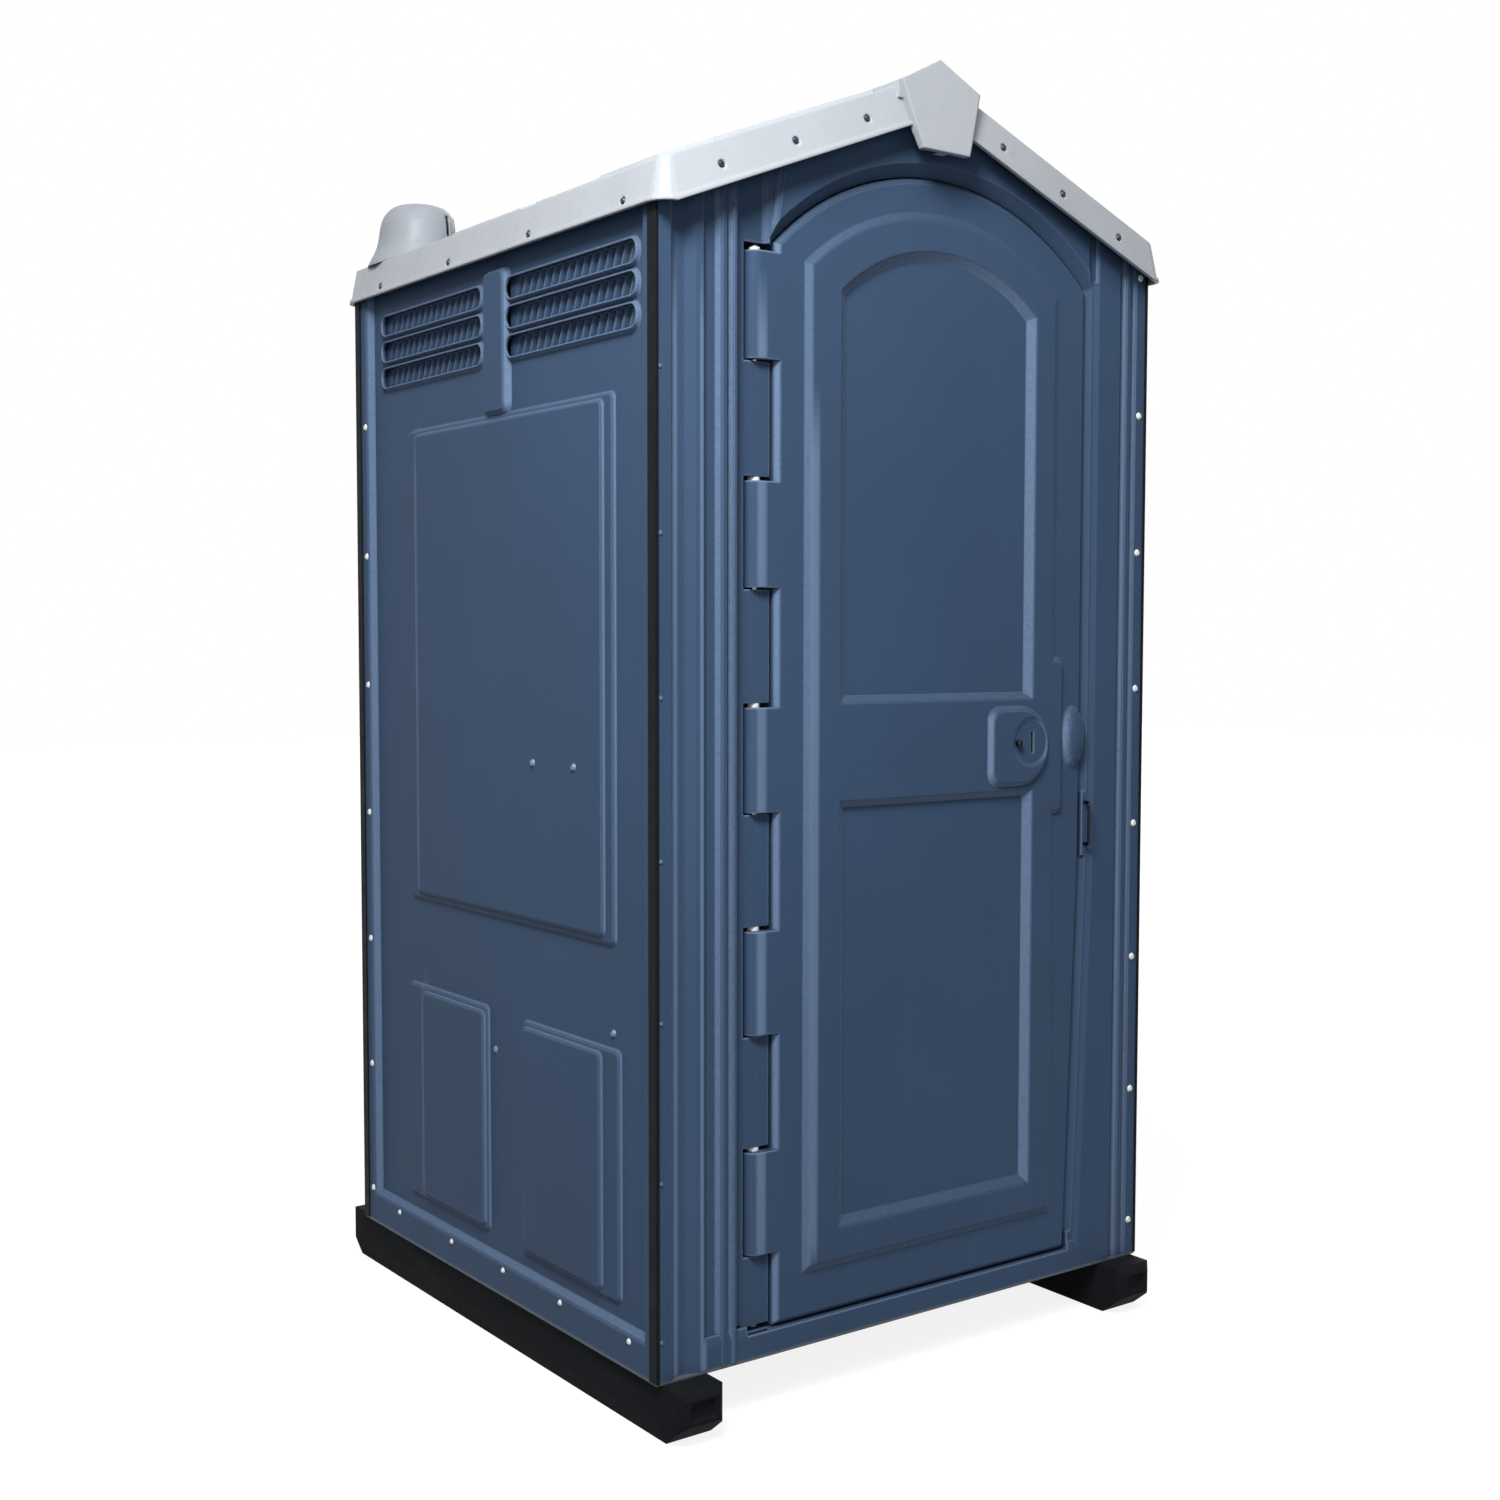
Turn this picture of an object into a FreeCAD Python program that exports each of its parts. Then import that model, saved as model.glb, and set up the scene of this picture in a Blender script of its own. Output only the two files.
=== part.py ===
import FreeCAD, Part
import math
import os

V = FreeCAD.Vector

# Cabin shell: origin on the ground under the middle of the skids, front towards -Y
BODY_W = 1118.0
FRONT_Y = -567.0
REAR_Y = 535.0
SHEET = 5.0
FIT = 0.3
FIELD_DEPTH = 14.0
DRAFT = 12.0

# Skids and base pan
SKID_L = 1246.0
SKID_W = 88.0
SKID_H = 92.0
SKID_IN = 53.5
SKID_NOSE = 45.0
SKID_NOSE_H = 37.0
SKID_BEVEL = 12.0
BASE_LIP = 4.0
BASE_FLOOR = 14.0
BASE_UPSTAND = 53.0
BASE_UPSTAND_T = 6.0
BAND_H = 54.0

# Roof
ROOF_SIDE = 16.0
ROOF_FRONT = 35.0
ROOF_REAR = 25.0
ROOF_SLOPE = 0.40
ROOF_EAVE_Z = 1970.0
FASCIA_RIDGE_Z = 2186.0
FASCIA_H = 74.0
FASCIA_DRAFT = 15.0
ROOF_CORNER_R = 36.0
ROOF_LIP = 3.0
ROOF_LIP_H = 8.0
ROOF_T = 5.0
RIDGE_BOX_HALF = 88.0
RIDGE_BOX_RISE = 20.0
TAB_HALF = 52.0
TAB_Z = 2121.0
VENT_IN = 89.0
VENT_Y = 442.0
VENT_TOP_Z = 2158.0
VENT_R = 78.0
PIPE_R = 55.0
PIPE_T = 3.0

# Door, arch and hinge
DOOR_LEFT = -320.0
DOOR_RIGHT = 401.0
DOOR_FOOT_IN = 29.0
DOOR_TAPER_Z = 900.0
DOOR_Z0 = 138.0
DOOR_SPRING_Z = 1941.0
DOOR_RISE = 149.0
DOOR_GAP = 3.0
DOOR_SET = 4.0
DOOR_T = 32.0
DOOR_SKIN = 4.0
HINGE_X = -350.0
KNUCKLE_R = 22.0
KNUCKLE_H = 174.0
KNUCKLE_PITCH = 371.0
KNUCKLE_TOP_Z = 1924.0
KNUCKLE_COUNT = 5
FINGER_FOOT_Z = 145.0
ROD_R = 6.0
RUN = 0.06
BUSH_R = 10.0
BUSH_LIP = 7.0
BUSH_SLEEVE_R = 8.0
BUSH_SLEEVE = 26.0
LINER_T = 5.0
STOP_BACK = 8.0
STOP_IN = 17.0
JAMB_SET = 16.0
POCKET_CLEAR = 6.0

# Rivets and screws
RIVET_PITCH = 259.6
RIVET_TOP_Z = 1720.0
RIVET_ROWS = 7
RIVET_R = 7.0
RIVET_RISE = 3.0
RIVET_SHANK_R = 2.5
SCREW_Z = 141.0
SCREW_YS = (374.0, 148.0, -55.0, -260.0, -483.0)
REAR_SCREW_Z = 125.0
REAR_SCREW_XS = (-400.0, -130.0, 130.0, 400.0)

# Latch
LOCK_X = 222.0
LOCK_Z = 1105.0
BOLT_TRAVEL = 22.0
BOLT_W = 20.0
BOLT_T = 9.0
BOLT_Y = -520.0

# Tank, seat and fittings
TANK_SIDE_GAP = 4.0
TANK_FRONT_Y = -20.0
TANK_REAR_Y = 512.0
TANK_TOP_Z = 560.0
TANK_WALL = 5.0
SEAT_Y = 170.0
SEAT_HALF_W = 182.0
SEAT_HALF_L = 220.0
SEAT_T = 20.0
LID_T = 14.0
SEAT_HINGE_Y = 418.0
URINAL_Y = -241.0
URINAL_TOP_Z = 1112.0
URINAL_W = 260.0
URINAL_H = 306.0
URINAL_D = 185.0
ROLL_R = 56.0
ROLL_W = 100.0
ROLL_CORE_R = 20.0
ROLL_Y = -180.0
ROLL_Z = 703.0

HALF_W = BODY_W / 2
SKID_X = HALF_W - SKID_IN
VENT_X = VENT_IN - HALF_W
ROOF_HALF_W = HALF_W + ROOF_SIDE
ROOF_FRONT_Y = FRONT_Y - ROOF_FRONT
ROOF_REAR_Y = REAR_Y + ROOF_REAR
FLOOR_Z = SKID_H + BASE_FLOOR
WALL_Z0 = SKID_H + BASE_LIP
BAND_TOP_Z = WALL_Z0 + BAND_H
FIELD_X = HALF_W - FIELD_DEPTH
TANK_HALF_W = FIELD_X - SHEET - TANK_SIDE_GAP
ROOF_RIDGE_Z = FASCIA_RIDGE_Z + FASCIA_H
RISE_PER_T = math.sqrt(1 + ROOF_SLOPE ** 2)
UNDER_ROOF_Z = ROOF_RIDGE_Z - ROOF_T * RISE_PER_T
DOOR_Y = FRONT_Y + DOOR_SET
DOOR_BACK_Y = DOOR_Y + DOOR_T
HINGE_Y = DOOR_Y + KNUCKLE_R
JAMB_Y = FRONT_Y + JAMB_SET
LINER_BACK_Y = DOOR_BACK_Y + STOP_BACK
DOOR_HALF = (DOOR_RIGHT - DOOR_LEFT) / 2
DOOR_MID = (DOOR_RIGHT + DOOR_LEFT) / 2


# Small builders
def box(x0, x1, y0, y1, z0, z1):
    return Part.makeBox(x1 - x0, y1 - y0, z1 - z0, V(x0, y0, z0))


def face(points):
    return Part.Face(Part.makePolygon(list(points) + [points[0]]))


def prism_x(points, x0, x1):
    return face([V(x0, y, z) for y, z in points]).extrude(V(x1 - x0, 0, 0))


def prism_y(points, y0, y1):
    return face([V(x, y0, z) for x, z in points]).extrude(V(0, y1 - y0, 0))


def prism_z(points, z0, z1):
    return face([V(x, y, z0) for x, y in points]).extrude(V(0, 0, z1 - z0))


def rod_x(r, x0, x1, y, z):
    return Part.makeCylinder(r, x1 - x0, V(x0, y, z), V(1, 0, 0))


def rod_y(r, y0, y1, x, z):
    return Part.makeCylinder(r, y1 - y0, V(x, y0, z), V(0, 1, 0))


def rod_z(r, z0, z1, x, y):
    return Part.makeCylinder(r, z1 - z0, V(x, y, z0), V(0, 0, 1))


def on_side(u, v, w):
    return V(w, u, v)


def on_front(u, v, w):
    return V(u, w, v)


def on_level(u, v, w):
    return V(u, v, w)


def round_rect(place, u0, u1, v0, v1, w, r):
    # closed wire: four sides and four quarter arcs
    s = r * (1 - math.sqrt(0.5))
    corners = [(u1 - r, v0, u1 - s, v0 + s, u1, v0 + r), (u1, v1 - r, u1 - s, v1 - s, u1 - r, v1),
               (u0 + r, v1, u0 + s, v1 - s, u0, v1 - r), (u0, v0 + r, u0 + s, v0 + s, u0 + r, v0)]
    edges = []
    start = place(u0 + r, v0, w)
    for a, b, c, d, e, f in corners:
        first = place(a, b, w)
        last = place(e, f, w)
        edges.append(Part.LineSegment(start, first).toShape())
        edges.append(Part.Arc(first, place(c, d, w), last).toShape())
        start = last
    return Part.Wire(edges)


def pad(place, rect, w0, w1, draft, r=14.0):
    # block between levels w0 and w1 whose rectangle draws in by the draft
    u0, u1, v0, v1 = rect
    low = round_rect(place, u0, u1, v0, v1, w0, r)
    high = round_rect(place, u0 + draft, u1 - draft, v0 + draft, v1 - draft, w1, max(r - draft, 2.0))
    return Part.makeLoft([low, high], True, True)


def arch_wire(u0, u1, v0, spring, rise, inset, y, foot_in=0.0):
    # upright outline with a round head; the inset keeps the head concentric
    half = (u1 - u0) / 2
    mid = (u1 + u0) / 2
    radius = (half ** 2 + rise ** 2) / (2 * rise)
    centre = spring + rise - radius
    half -= inset
    top = centre + math.sqrt((radius - inset) ** 2 - half ** 2)
    left = V(mid - half, y, v0 + inset)
    right = V(mid + half - foot_in, y, v0 + inset)
    head_r = V(mid + half, y, top)
    head_l = V(mid - half, y, top)
    crown = V(mid, y, centre + radius - inset)
    edges = [Part.LineSegment(left, right).toShape()]
    if foot_in:
        bend = V(mid + half, y, DOOR_TAPER_Z)
        edges += [Part.LineSegment(right, bend).toShape(), Part.LineSegment(bend, head_r).toShape()]
    else:
        edges.append(Part.LineSegment(right, head_r).toShape())
    edges += [Part.Arc(head_r, crown, head_l).toShape(), Part.LineSegment(head_l, left).toShape()]
    return Part.Wire(edges)


def door_wire(inset, y):
    return arch_wire(DOOR_LEFT, DOOR_RIGHT, DOOR_Z0, DOOR_SPRING_Z, DOOR_RISE, inset, y, DOOR_FOOT_IN)


def door_prism(inset, y0, y1):
    return Part.Face(door_wire(inset, y0)).extrude(V(0, y1 - y0, 0))


def door_taper(inset0, y0, inset1, y1):
    return Part.makeLoft([door_wire(inset0, y0), door_wire(inset1, y1)], True, True)


def moved(shape, x=0.0, y=0.0, z=0.0):
    copy = shape.copy()
    copy.translate(V(x, y, z))
    return copy


def mirrored(shape):
    return shape.mirror(V(0, 0, 0), V(1, 0, 0))


def fused(shapes):
    return shapes[0].multiFuse(shapes[1:]).removeSplitter()


def joined(shapes):
    # fused one after another, which is steadier for thin sheets that share planes
    whole = shapes[0]
    for piece in shapes[1:]:
        whole = whole.fuse(piece)
    return whole


def drill(shape, holes):
    return shape.cut(Part.makeCompound(holes))


def roof_half(z0, z1, out):
    # right half of a drafted block under the gable, between two heights above the ridge line's foot
    wires = []
    for z in (z0, z1):
        d = FASCIA_DRAFT * z / FASCIA_H - out
        r = ROOF_CORNER_R - d
        points = [(0, ROOF_FRONT_Y + d)]
        for y, turn in ((ROOF_FRONT_Y, -90), (ROOF_REAR_Y, 0)):
            s = 1 if turn else -1
            for k in range(6):
                a = math.radians(turn + 18 * k)
                points.append((ROOF_HALF_W - ROOF_CORNER_R + r * math.cos(a), y + s * ROOF_CORNER_R + r * math.sin(a)))
        points.append((0, ROOF_REAR_Y - d))
        ring = [V(x, y, FASCIA_RIDGE_Z + z - ROOF_SLOPE * x) for x, y in points]
        wires.append(Part.makePolygon(ring + ring[:1]))
    return Part.makeLoft(wires, True, True)


def roof_block(z0, z1, out):
    half = roof_half(z0, z1, out)
    return fused([half, mirrored(half)])


def inside_roof(gap):
    # everything under the roof sheet, with the given gap to its inner faces
    return roof_block(-FASCIA_RIDGE_Z - 10, FASCIA_H - (ROOF_T + gap) * RISE_PER_T, -ROOF_T - gap)


ROOM = inside_roof(FIT)


def save(name, shape):
    solids = shape.Solids
    out = solids[0] if len(solids) == 1 else Part.makeCompound(solids)
    out.exportStep("parts/%s.step" % name)
    print(name, len(solids), "solids", round(shape.Volume / 1000), "cm3", shape.isValid())


# Skids: rectangular runners with chamfered noses
def skid(x):
    end = SKID_L / 2
    flat = end - SKID_NOSE
    top = SKID_H - SKID_BEVEL
    half = SKID_W / 2
    runner = prism_x([(-flat, 0), (flat, 0), (end, SKID_NOSE_H), (end, top), (end - SKID_BEVEL, SKID_H),
                      (SKID_BEVEL - end, SKID_H), (-end, top), (-end, SKID_NOSE_H)], x - half, x + half)
    b = SKID_BEVEL
    plan = prism_z([(x - half, b - end), (x - half + b, -end), (x + half - b, -end), (x + half, b - end),
                    (x + half, end - b), (x + half - b, end), (x - half + b, end), (x - half, end - b)],
                   -1, SKID_H + 1)
    runner = runner.common(plan)
    for s in (-1, 1):
        runner = runner.cut(pad(on_front, (x - half + 20, x + half - 20, SKID_NOSE_H + 6, top - 5),
                                s * (end + 0.01), s * (end - 6), 3.0, 5.0))
    for y in SKID_BOLT_YS:
        runner = runner.cut(rod_z(SKID_BOLT_R + FIT, -1, SKID_H + 1, x, y))
        runner = runner.cut(rod_z(SKID_BOLT_R * 2.4, -1, 14.0, x, y))
    return runner


SKID_BOLT_YS = (-430.0, -10.0, 410.0)
SKID_BOLT_R = 5.0
NUT_SINK = 6.0


def skid_bolts():
    bolts = []
    for x in (-SKID_X, SKID_X):
        for y in SKID_BOLT_YS:
            head = rod_z(SKID_BOLT_R * 2, 6.0, 14.0, x, y)
            shank = rod_z(SKID_BOLT_R, 14.0, FLOOR_Z - NUT_SINK, x, y)
            cap = Part.makeCone(SKID_BOLT_R * 2.0, SKID_BOLT_R * 1.6, NUT_SINK - 1, V(x, y, FLOOR_Z - NUT_SINK))
            bolts.append(fused([head, shank, cap]))
    return Part.makeCompound(bolts)


# Base pan: lip that the walls stand on, floor with treads, upstand that the walls are screwed to
def base_floor():
    half = HALF_W - SHEET - FIT
    front = JAMB_Y + SHEET + FIT
    rear = REAR_Y - SHEET - FIT
    lip = box(-HALF_W, HALF_W, FRONT_Y, REAR_Y, SKID_H, WALL_Z0)
    pan = box(-half, half, front, rear, SKID_H, WALL_Z0 + BASE_UPSTAND)
    well = box(-half + BASE_UPSTAND_T, half - BASE_UPSTAND_T, front + BASE_UPSTAND_T, rear - BASE_UPSTAND_T,
               FLOOR_Z, WALL_Z0 + BASE_UPSTAND + 1)
    treads = []
    for row in range(7):
        for col in range(13):
            x = -396.0 + 66.0 * col + (33.0 if row % 2 else 0.0)
            y = -480.0 + 60.0 * row
            tread = box(x - 20, x + 20, y - 4, y + 4, FLOOR_Z - 1, FLOOR_Z + 3)
            tread.rotate(V(x, y, 0), V(0, 0, 1), 45 if (row + col) % 2 else -45)
            treads.append(tread)
    ribs = [box(-SKID_X + SKID_W / 2 + FIT, SKID_X - SKID_W / 2 - FIT, y - 20, y + 20, SKID_H - 25, SKID_H + 1)
            for y in (-430.0, -150.0, 130.0, 410.0)]
    floor = fused([lip, pan]).cut(well)
    floor = fused([floor] + treads + ribs)
    floor = floor.cut(box(-half + 14, half - 14, front - 1, front + BASE_UPSTAND_T + 1, sill_under(), 300))
    holes = [rod_z(SKID_BOLT_R + FIT, SKID_H - 1, FLOOR_Z + 1, x, y)
             for x in (-SKID_X, SKID_X) for y in SKID_BOLT_YS]
    holes += [rod_z(SKID_BOLT_R * 2.4, FLOOR_Z - NUT_SINK, FLOOR_Z + 1, x, y)
              for x in (-SKID_X, SKID_X) for y in SKID_BOLT_YS]
    return drill(floor, holes + side_screw_holes(-1) + side_screw_holes(1) + rear_screw_holes())


def sill_under():
    return DOOR_Z0 - DOOR_GAP - LINER_T - FIT


def side_screw_holes(s):
    x = s * HALF_W
    return [rod_x(RIVET_SHANK_R + FIT, min(x, x - s * 30), max(x, x - s * 30), y, SCREW_Z) for y in SCREW_YS]


def rear_screw_holes():
    return [rod_y(RIVET_SHANK_R + FIT, REAR_Y - 30, REAR_Y + 1, x, REAR_SCREW_Z) for x in REAR_SCREW_XS]


# Side walls: one formed sheet each, drawn as a relief block whose outer 5 mm is kept
PANEL_RISE = 6.0
PANEL_DRAFT = 7.0
REAR_FLANGE = 43.0
FRONT_FLANGE = 23.0
UPPER_PANEL = (-430.0, 323.0, 785.0, 1700.0)
UPPER_PANEL_IN = (-403.0, 290.0, 797.0, 1690.0)
LOWER_PANELS = (((12.0, 341.0, 190.0, 620.0), (12.0 + PANEL_DRAFT, 274.0, 200.0, 610.0)),
                ((-444.0, -113.0, 186.0, 617.0), (-392.0, -113.0 - PANEL_DRAFT, 196.0, 607.0)))
LOUVRE_COLUMNS = ((-499.0, -76.0), (18.0, 432.0))
LOUVRE_TOP_Z = 1930.0
LOUVRE_PITCH = 51.0
LOUVRE_H = 37.0
LOUVRE_ROWS = 3
LOUVRE_RIM = 7.0
LOUVRE_END_R = 16.0
MULLION = (-84.0, 7.0, 1690.0, 1958.0)


def louvre_slots():
    slots = []
    for y0, y1 in LOUVRE_COLUMNS:
        for row in range(LOUVRE_ROWS):
            top = LOUVRE_TOP_Z - LOUVRE_PITCH * row
            slots.append((y0, y1, top - LOUVRE_H, top))
    return slots


def side_relief(top_z):
    profile = [(-HALF_W + 60, FRONT_Y + SHEET + FIT), (-HALF_W, FRONT_Y + SHEET + FIT),
               (-HALF_W, FRONT_Y + 36.0), (-FIELD_X, FRONT_Y + 36.0 + DRAFT + 4),
               (-FIELD_X, REAR_Y - 55), (-HALF_W, REAR_Y - REAR_FLANGE),
               (-HALF_W, REAR_Y), (-HALF_W + 60, REAR_Y)]
    relief = [prism_z(profile, WALL_Z0, top_z)]
    relief.append(prism_y([(-HALF_W + 60, WALL_Z0), (-HALF_W, WALL_Z0), (-HALF_W, BAND_TOP_Z),
                           (-FIELD_X, BAND_TOP_Z + DRAFT), (-HALF_W + 60, BAND_TOP_Z + DRAFT)],
                          FRONT_Y + SHEET + FIT, REAR_Y))
    low = -FIELD_X + 2
    step = -FIELD_X - PANEL_RISE
    for outer, inner in ((UPPER_PANEL, UPPER_PANEL_IN),) + LOWER_PANELS:
        relief.append(pad(on_side, outer, low, step, PANEL_DRAFT))
        relief.append(pad(on_side, inner, step + 2, step - PANEL_RISE, PANEL_DRAFT))
    relief.append(pad(on_side, MULLION, low, -HALF_W, 12.0, 24.0))
    for y0, y1, z0, z1 in louvre_slots():
        rim = (y0 - LOUVRE_RIM, y1 + LOUVRE_RIM, z0 - LOUVRE_RIM, z1 + LOUVRE_RIM)
        relief.append(pad(on_side, rim, low, -FIELD_X - 8.0, 5.0, LOUVRE_END_R + LOUVRE_RIM))
    return fused(relief)


def side_wall(inner_holes, corner_x):
    # the left-hand wall, with holes for the things that are bolted to it inside
    top_z = 2090.0
    relief = side_relief(top_z)
    sheet = relief.cut(moved(relief, x=SHEET))
    front = FRONT_Y + SHEET + FIT
    flange = box(-HALF_W + 1, -HALF_W + FRONT_FLANGE, front, front + SHEET - FIT, WALL_Z0, top_z)
    bosses = [rod_x(BOSS_R, -ROOF_HALF_W, -FIELD_X + 2, y, EAVE_RIVET_Z) for y in EAVE_RIVET_YS]
    sheet = fused([sheet, flange] + bosses)
    for y0, y1, z0, z1 in louvre_slots():
        slot = round_rect(on_side, y0, y1, z0, z1, -HALF_W - 20, LOUVRE_END_R)
        sheet = sheet.cut(Part.Face(slot).extrude(V(90, 0, 0)))
    through = [(y, EAVE_RIVET_Z) for y in EAVE_RIVET_YS] + [(SIDE_RIVET_Y, z) for z in rivet_levels()[1:]]
    holes = [rod_x(RIVET_SHANK_R + FIT, -ROOF_HALF_W - 1, 50 - HALF_W, y, z)
             for y, z in through + list(inner_holes)]
    holes += [rod_y(RIVET_SHANK_R + FIT, FRONT_Y - 1, FRONT_Y + 20, -corner_x, z) for z in rivet_levels()]
    return drill(sheet.common(ROOM), holes + side_screw_holes(-1)).Solids[0]


BOSS_R = 9.0
EAVE_RIVET_YS = (-488.0, -186.0, 112.0, 401.0)
EAVE_RIVET_Z = 1986.0


# Louvre screens: slanted vanes in a frame, fixed behind each louvre bank
VANE_PITCH = 25.0
VANE_W = 7.0
VANE_LEAN = 0.45
SCREEN_T = 12.0
SCREEN_SKEW = 15.0


def vent_screen():
    # vanes lean forward at the top and run forward as they go in, so rain and eyes are kept out
    x0 = -FIELD_X + SHEET + FIT
    pieces = []
    for y0, y1 in LOUVRE_COLUMNS:
        low = LOUVRE_TOP_Z - LOUVRE_PITCH * (LOUVRE_ROWS - 1) - LOUVRE_H
        plate = box(x0, x0 + SCREEN_T, y0 - 6, y1 + 6, low - 6, LOUVRE_TOP_Z + 6)
        gaps = []
        for row in range(LOUVRE_ROWS):
            z1 = LOUVRE_TOP_Z - LOUVRE_PITCH * row - 1
            z0 = z1 - LOUVRE_H + 2
            lean = (z1 - z0) * VANE_LEAN
            count = int((y1 - y0 - lean - SCREEN_SKEW - VANE_W) / VANE_PITCH)
            start = y0 + SCREEN_SKEW + (y1 - y0 - lean - SCREEN_SKEW - count * VANE_PITCH + VANE_W) / 2
            for k in range(count):
                a = start + VANE_PITCH * k
                b = a + VANE_PITCH - VANE_W
                outline = face([V(x0 - 1, y, z) for y, z in ((a + lean, z0), (b + lean, z0), (b, z1), (a, z1))])
                gaps.append(outline.extrude(V(SCREEN_T + 2, -SCREEN_SKEW, 0)))
        pieces.append(plate.cut(Part.makeCompound(gaps)))
    return Part.makeCompound(pieces)


# Rear wall: formed sheet with return flanges inside the side walls
def rear_wall():
    top_z = 2270.0
    field = REAR_Y - FIELD_DEPTH
    inner = HALF_W - SHEET - FIT
    relief = [prism_z([(-inner, REAR_Y - 60), (-inner, REAR_Y), (-inner + 34, REAR_Y), (-inner + 50, field),
                       (inner - 50, field), (inner - 34, REAR_Y), (inner, REAR_Y), (inner, REAR_Y - 60)],
                      WALL_Z0, top_z)]
    relief.append(prism_x([(REAR_Y - 60, WALL_Z0), (REAR_Y, WALL_Z0), (REAR_Y, BAND_TOP_Z),
                           (field, BAND_TOP_Z + DRAFT), (REAR_Y - 60, BAND_TOP_Z + DRAFT)], -inner, inner))
    for u0, u1 in ((-440.0, -40.0), (40.0, 440.0)):
        for v0, v1 in ((200.0, 610.0), (700.0, 1840.0)):
            relief.append(pad(on_front, (u0, u1, v0, v1), field - 2, field + PANEL_RISE, PANEL_DRAFT))
            relief.append(pad(on_front, (u0 + 27, u1 - 27, v0 + 12, v1 - 12), field + PANEL_RISE - 2,
                              field + 2 * PANEL_RISE, PANEL_DRAFT))
    relief = fused(relief)
    sheet = relief.cut(moved(relief, y=-SHEET))
    depth = REAR_Y - REAR_FLANGE + 2
    foot = WALL_Z0 + BASE_UPSTAND + FIT
    returns = [box(-inner, -inner + SHEET, depth, REAR_Y - 1, foot, top_z),
               box(inner - SHEET, inner, depth, REAR_Y - 1, foot, top_z)]
    holes = [rod_x(RIVET_SHANK_R + FIT, -HALF_W, HALF_W, SIDE_RIVET_Y, z) for z in rivet_levels()[1:]]
    return drill(fused([sheet] + returns).common(ROOM), holes + rear_screw_holes()).Solids[0]


# Front frame: fluted jambs, header, liner round the doorway, door stop and hinge fingers
# profiles as (share of the jamb's width, depth behind the front face)
LEFT_FLUTES = [(0, 0), (0.174, 0), (0.228, 11), (0.365, 11), (0.461, 2), (0.545, 0), (0.605, 9), (0.713, 9),
               (0.766, -1), (0.814, -1), (0.838, 6), (0.862, 6), (0.892, -3), (0.928, -3), (1, JAMB_SET)]
RIGHT_FLUTES = [(0, 8), (0.044, 0), (0.474, 0), (0.526, 9), (0.57, 9), (0.615, 0), (0.689, 0), (0.726, 9),
                (0.763, 9), (0.8, 0), (1, 0)]
LEFT_JAMB_X = HINGE_X - KNUCKLE_R - 20.0
RIGHT_JAMB_X = DOOR_RIGHT + 23.0
STEP_X = DOOR_LEFT - 11.0
SILL = (-472.0, 440.0)
HEADER_Y = FRONT_Y + 5.0
HEADER_PAD_Y = FRONT_Y - 3.0
BACK_Y = FRONT_Y + 67.0
POCKET_X0 = HINGE_X - KNUCKLE_R - POCKET_CLEAR
POCKET_X1 = DOOR_LEFT + 10.0
POCKET_BACK_Y = HINGE_Y + KNUCKLE_R + POCKET_CLEAR
FASCIA_RIVETS = tuple((x, FASCIA_RIDGE_Z + 35.0 - ROOF_SLOPE * x) for x in (452.0, 305.0, 156.0))


def knuckle_spans():
    return [(KNUCKLE_TOP_Z - KNUCKLE_PITCH * k - KNUCKLE_H, KNUCKLE_TOP_Z - KNUCKLE_PITCH * k)
            for k in range(KNUCKLE_COUNT)]


def finger_spans():
    # jamb fingers fill the gaps under each door knuckle
    spans = []
    knuckles = knuckle_spans()
    for k in range(KNUCKLE_COUNT):
        top = knuckles[k][0] - 3.0
        low = knuckles[k + 1][1] + BUSH_LIP + FIT if k + 1 < KNUCKLE_COUNT else FINGER_FOOT_Z
        spans.append((low, top))
    return spans


def opening_prism(grow, y0, y1):
    return door_prism(-DOOR_GAP - grow, y0, y1)


def hinge_pocket(grow, y0, y1):
    return box(POCKET_X0 - grow, POCKET_X1 + grow, y0, y1, DOOR_Z0 - DOOR_GAP - grow,
               KNUCKLE_TOP_Z + BUSH_LIP + 6 + grow)


def jamb(profile, x0, x1, top_z):
    points = [(x0 + (x1 - x0) * t, FRONT_Y + depth) for t, depth in profile]
    return prism_z([(points[0][0], BACK_Y)] + points + [(points[-1][0], BACK_Y)], WALL_Z0, top_z)


def header_pad(y, out, top_z):
    left, right, spring = DOOR_LEFT - 2 - out, DOOR_RIGHT - 2 + out, DOOR_SPRING_Z
    points = [(left, spring - 41 - out), (left, spring + 24), (left + 14, spring + 114), (left + 14, top_z),
              (right, top_z), (right, spring + 82), (right + 5, spring + 9), (right + 5, spring - 41 - out)]
    ring = [V(x, y, z) for x, z in points]
    return Part.makePolygon(ring + ring[:1])


def hinge_trough():
    # deeper channel beside the door's edge, where the knuckles turn
    stop_y = LINER_BACK_Y - LINER_T
    trough = hinge_pocket(LINER_T, JAMB_Y + 1, POCKET_BACK_Y + LINER_T).cut(hinge_pocket(0, -700, POCKET_BACK_Y))
    trough = trough.cut(box(POCKET_X1, HALF_W, -700, stop_y, 0, 3000))
    return trough.cut(opening_prism(0, -700, stop_y))


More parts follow.
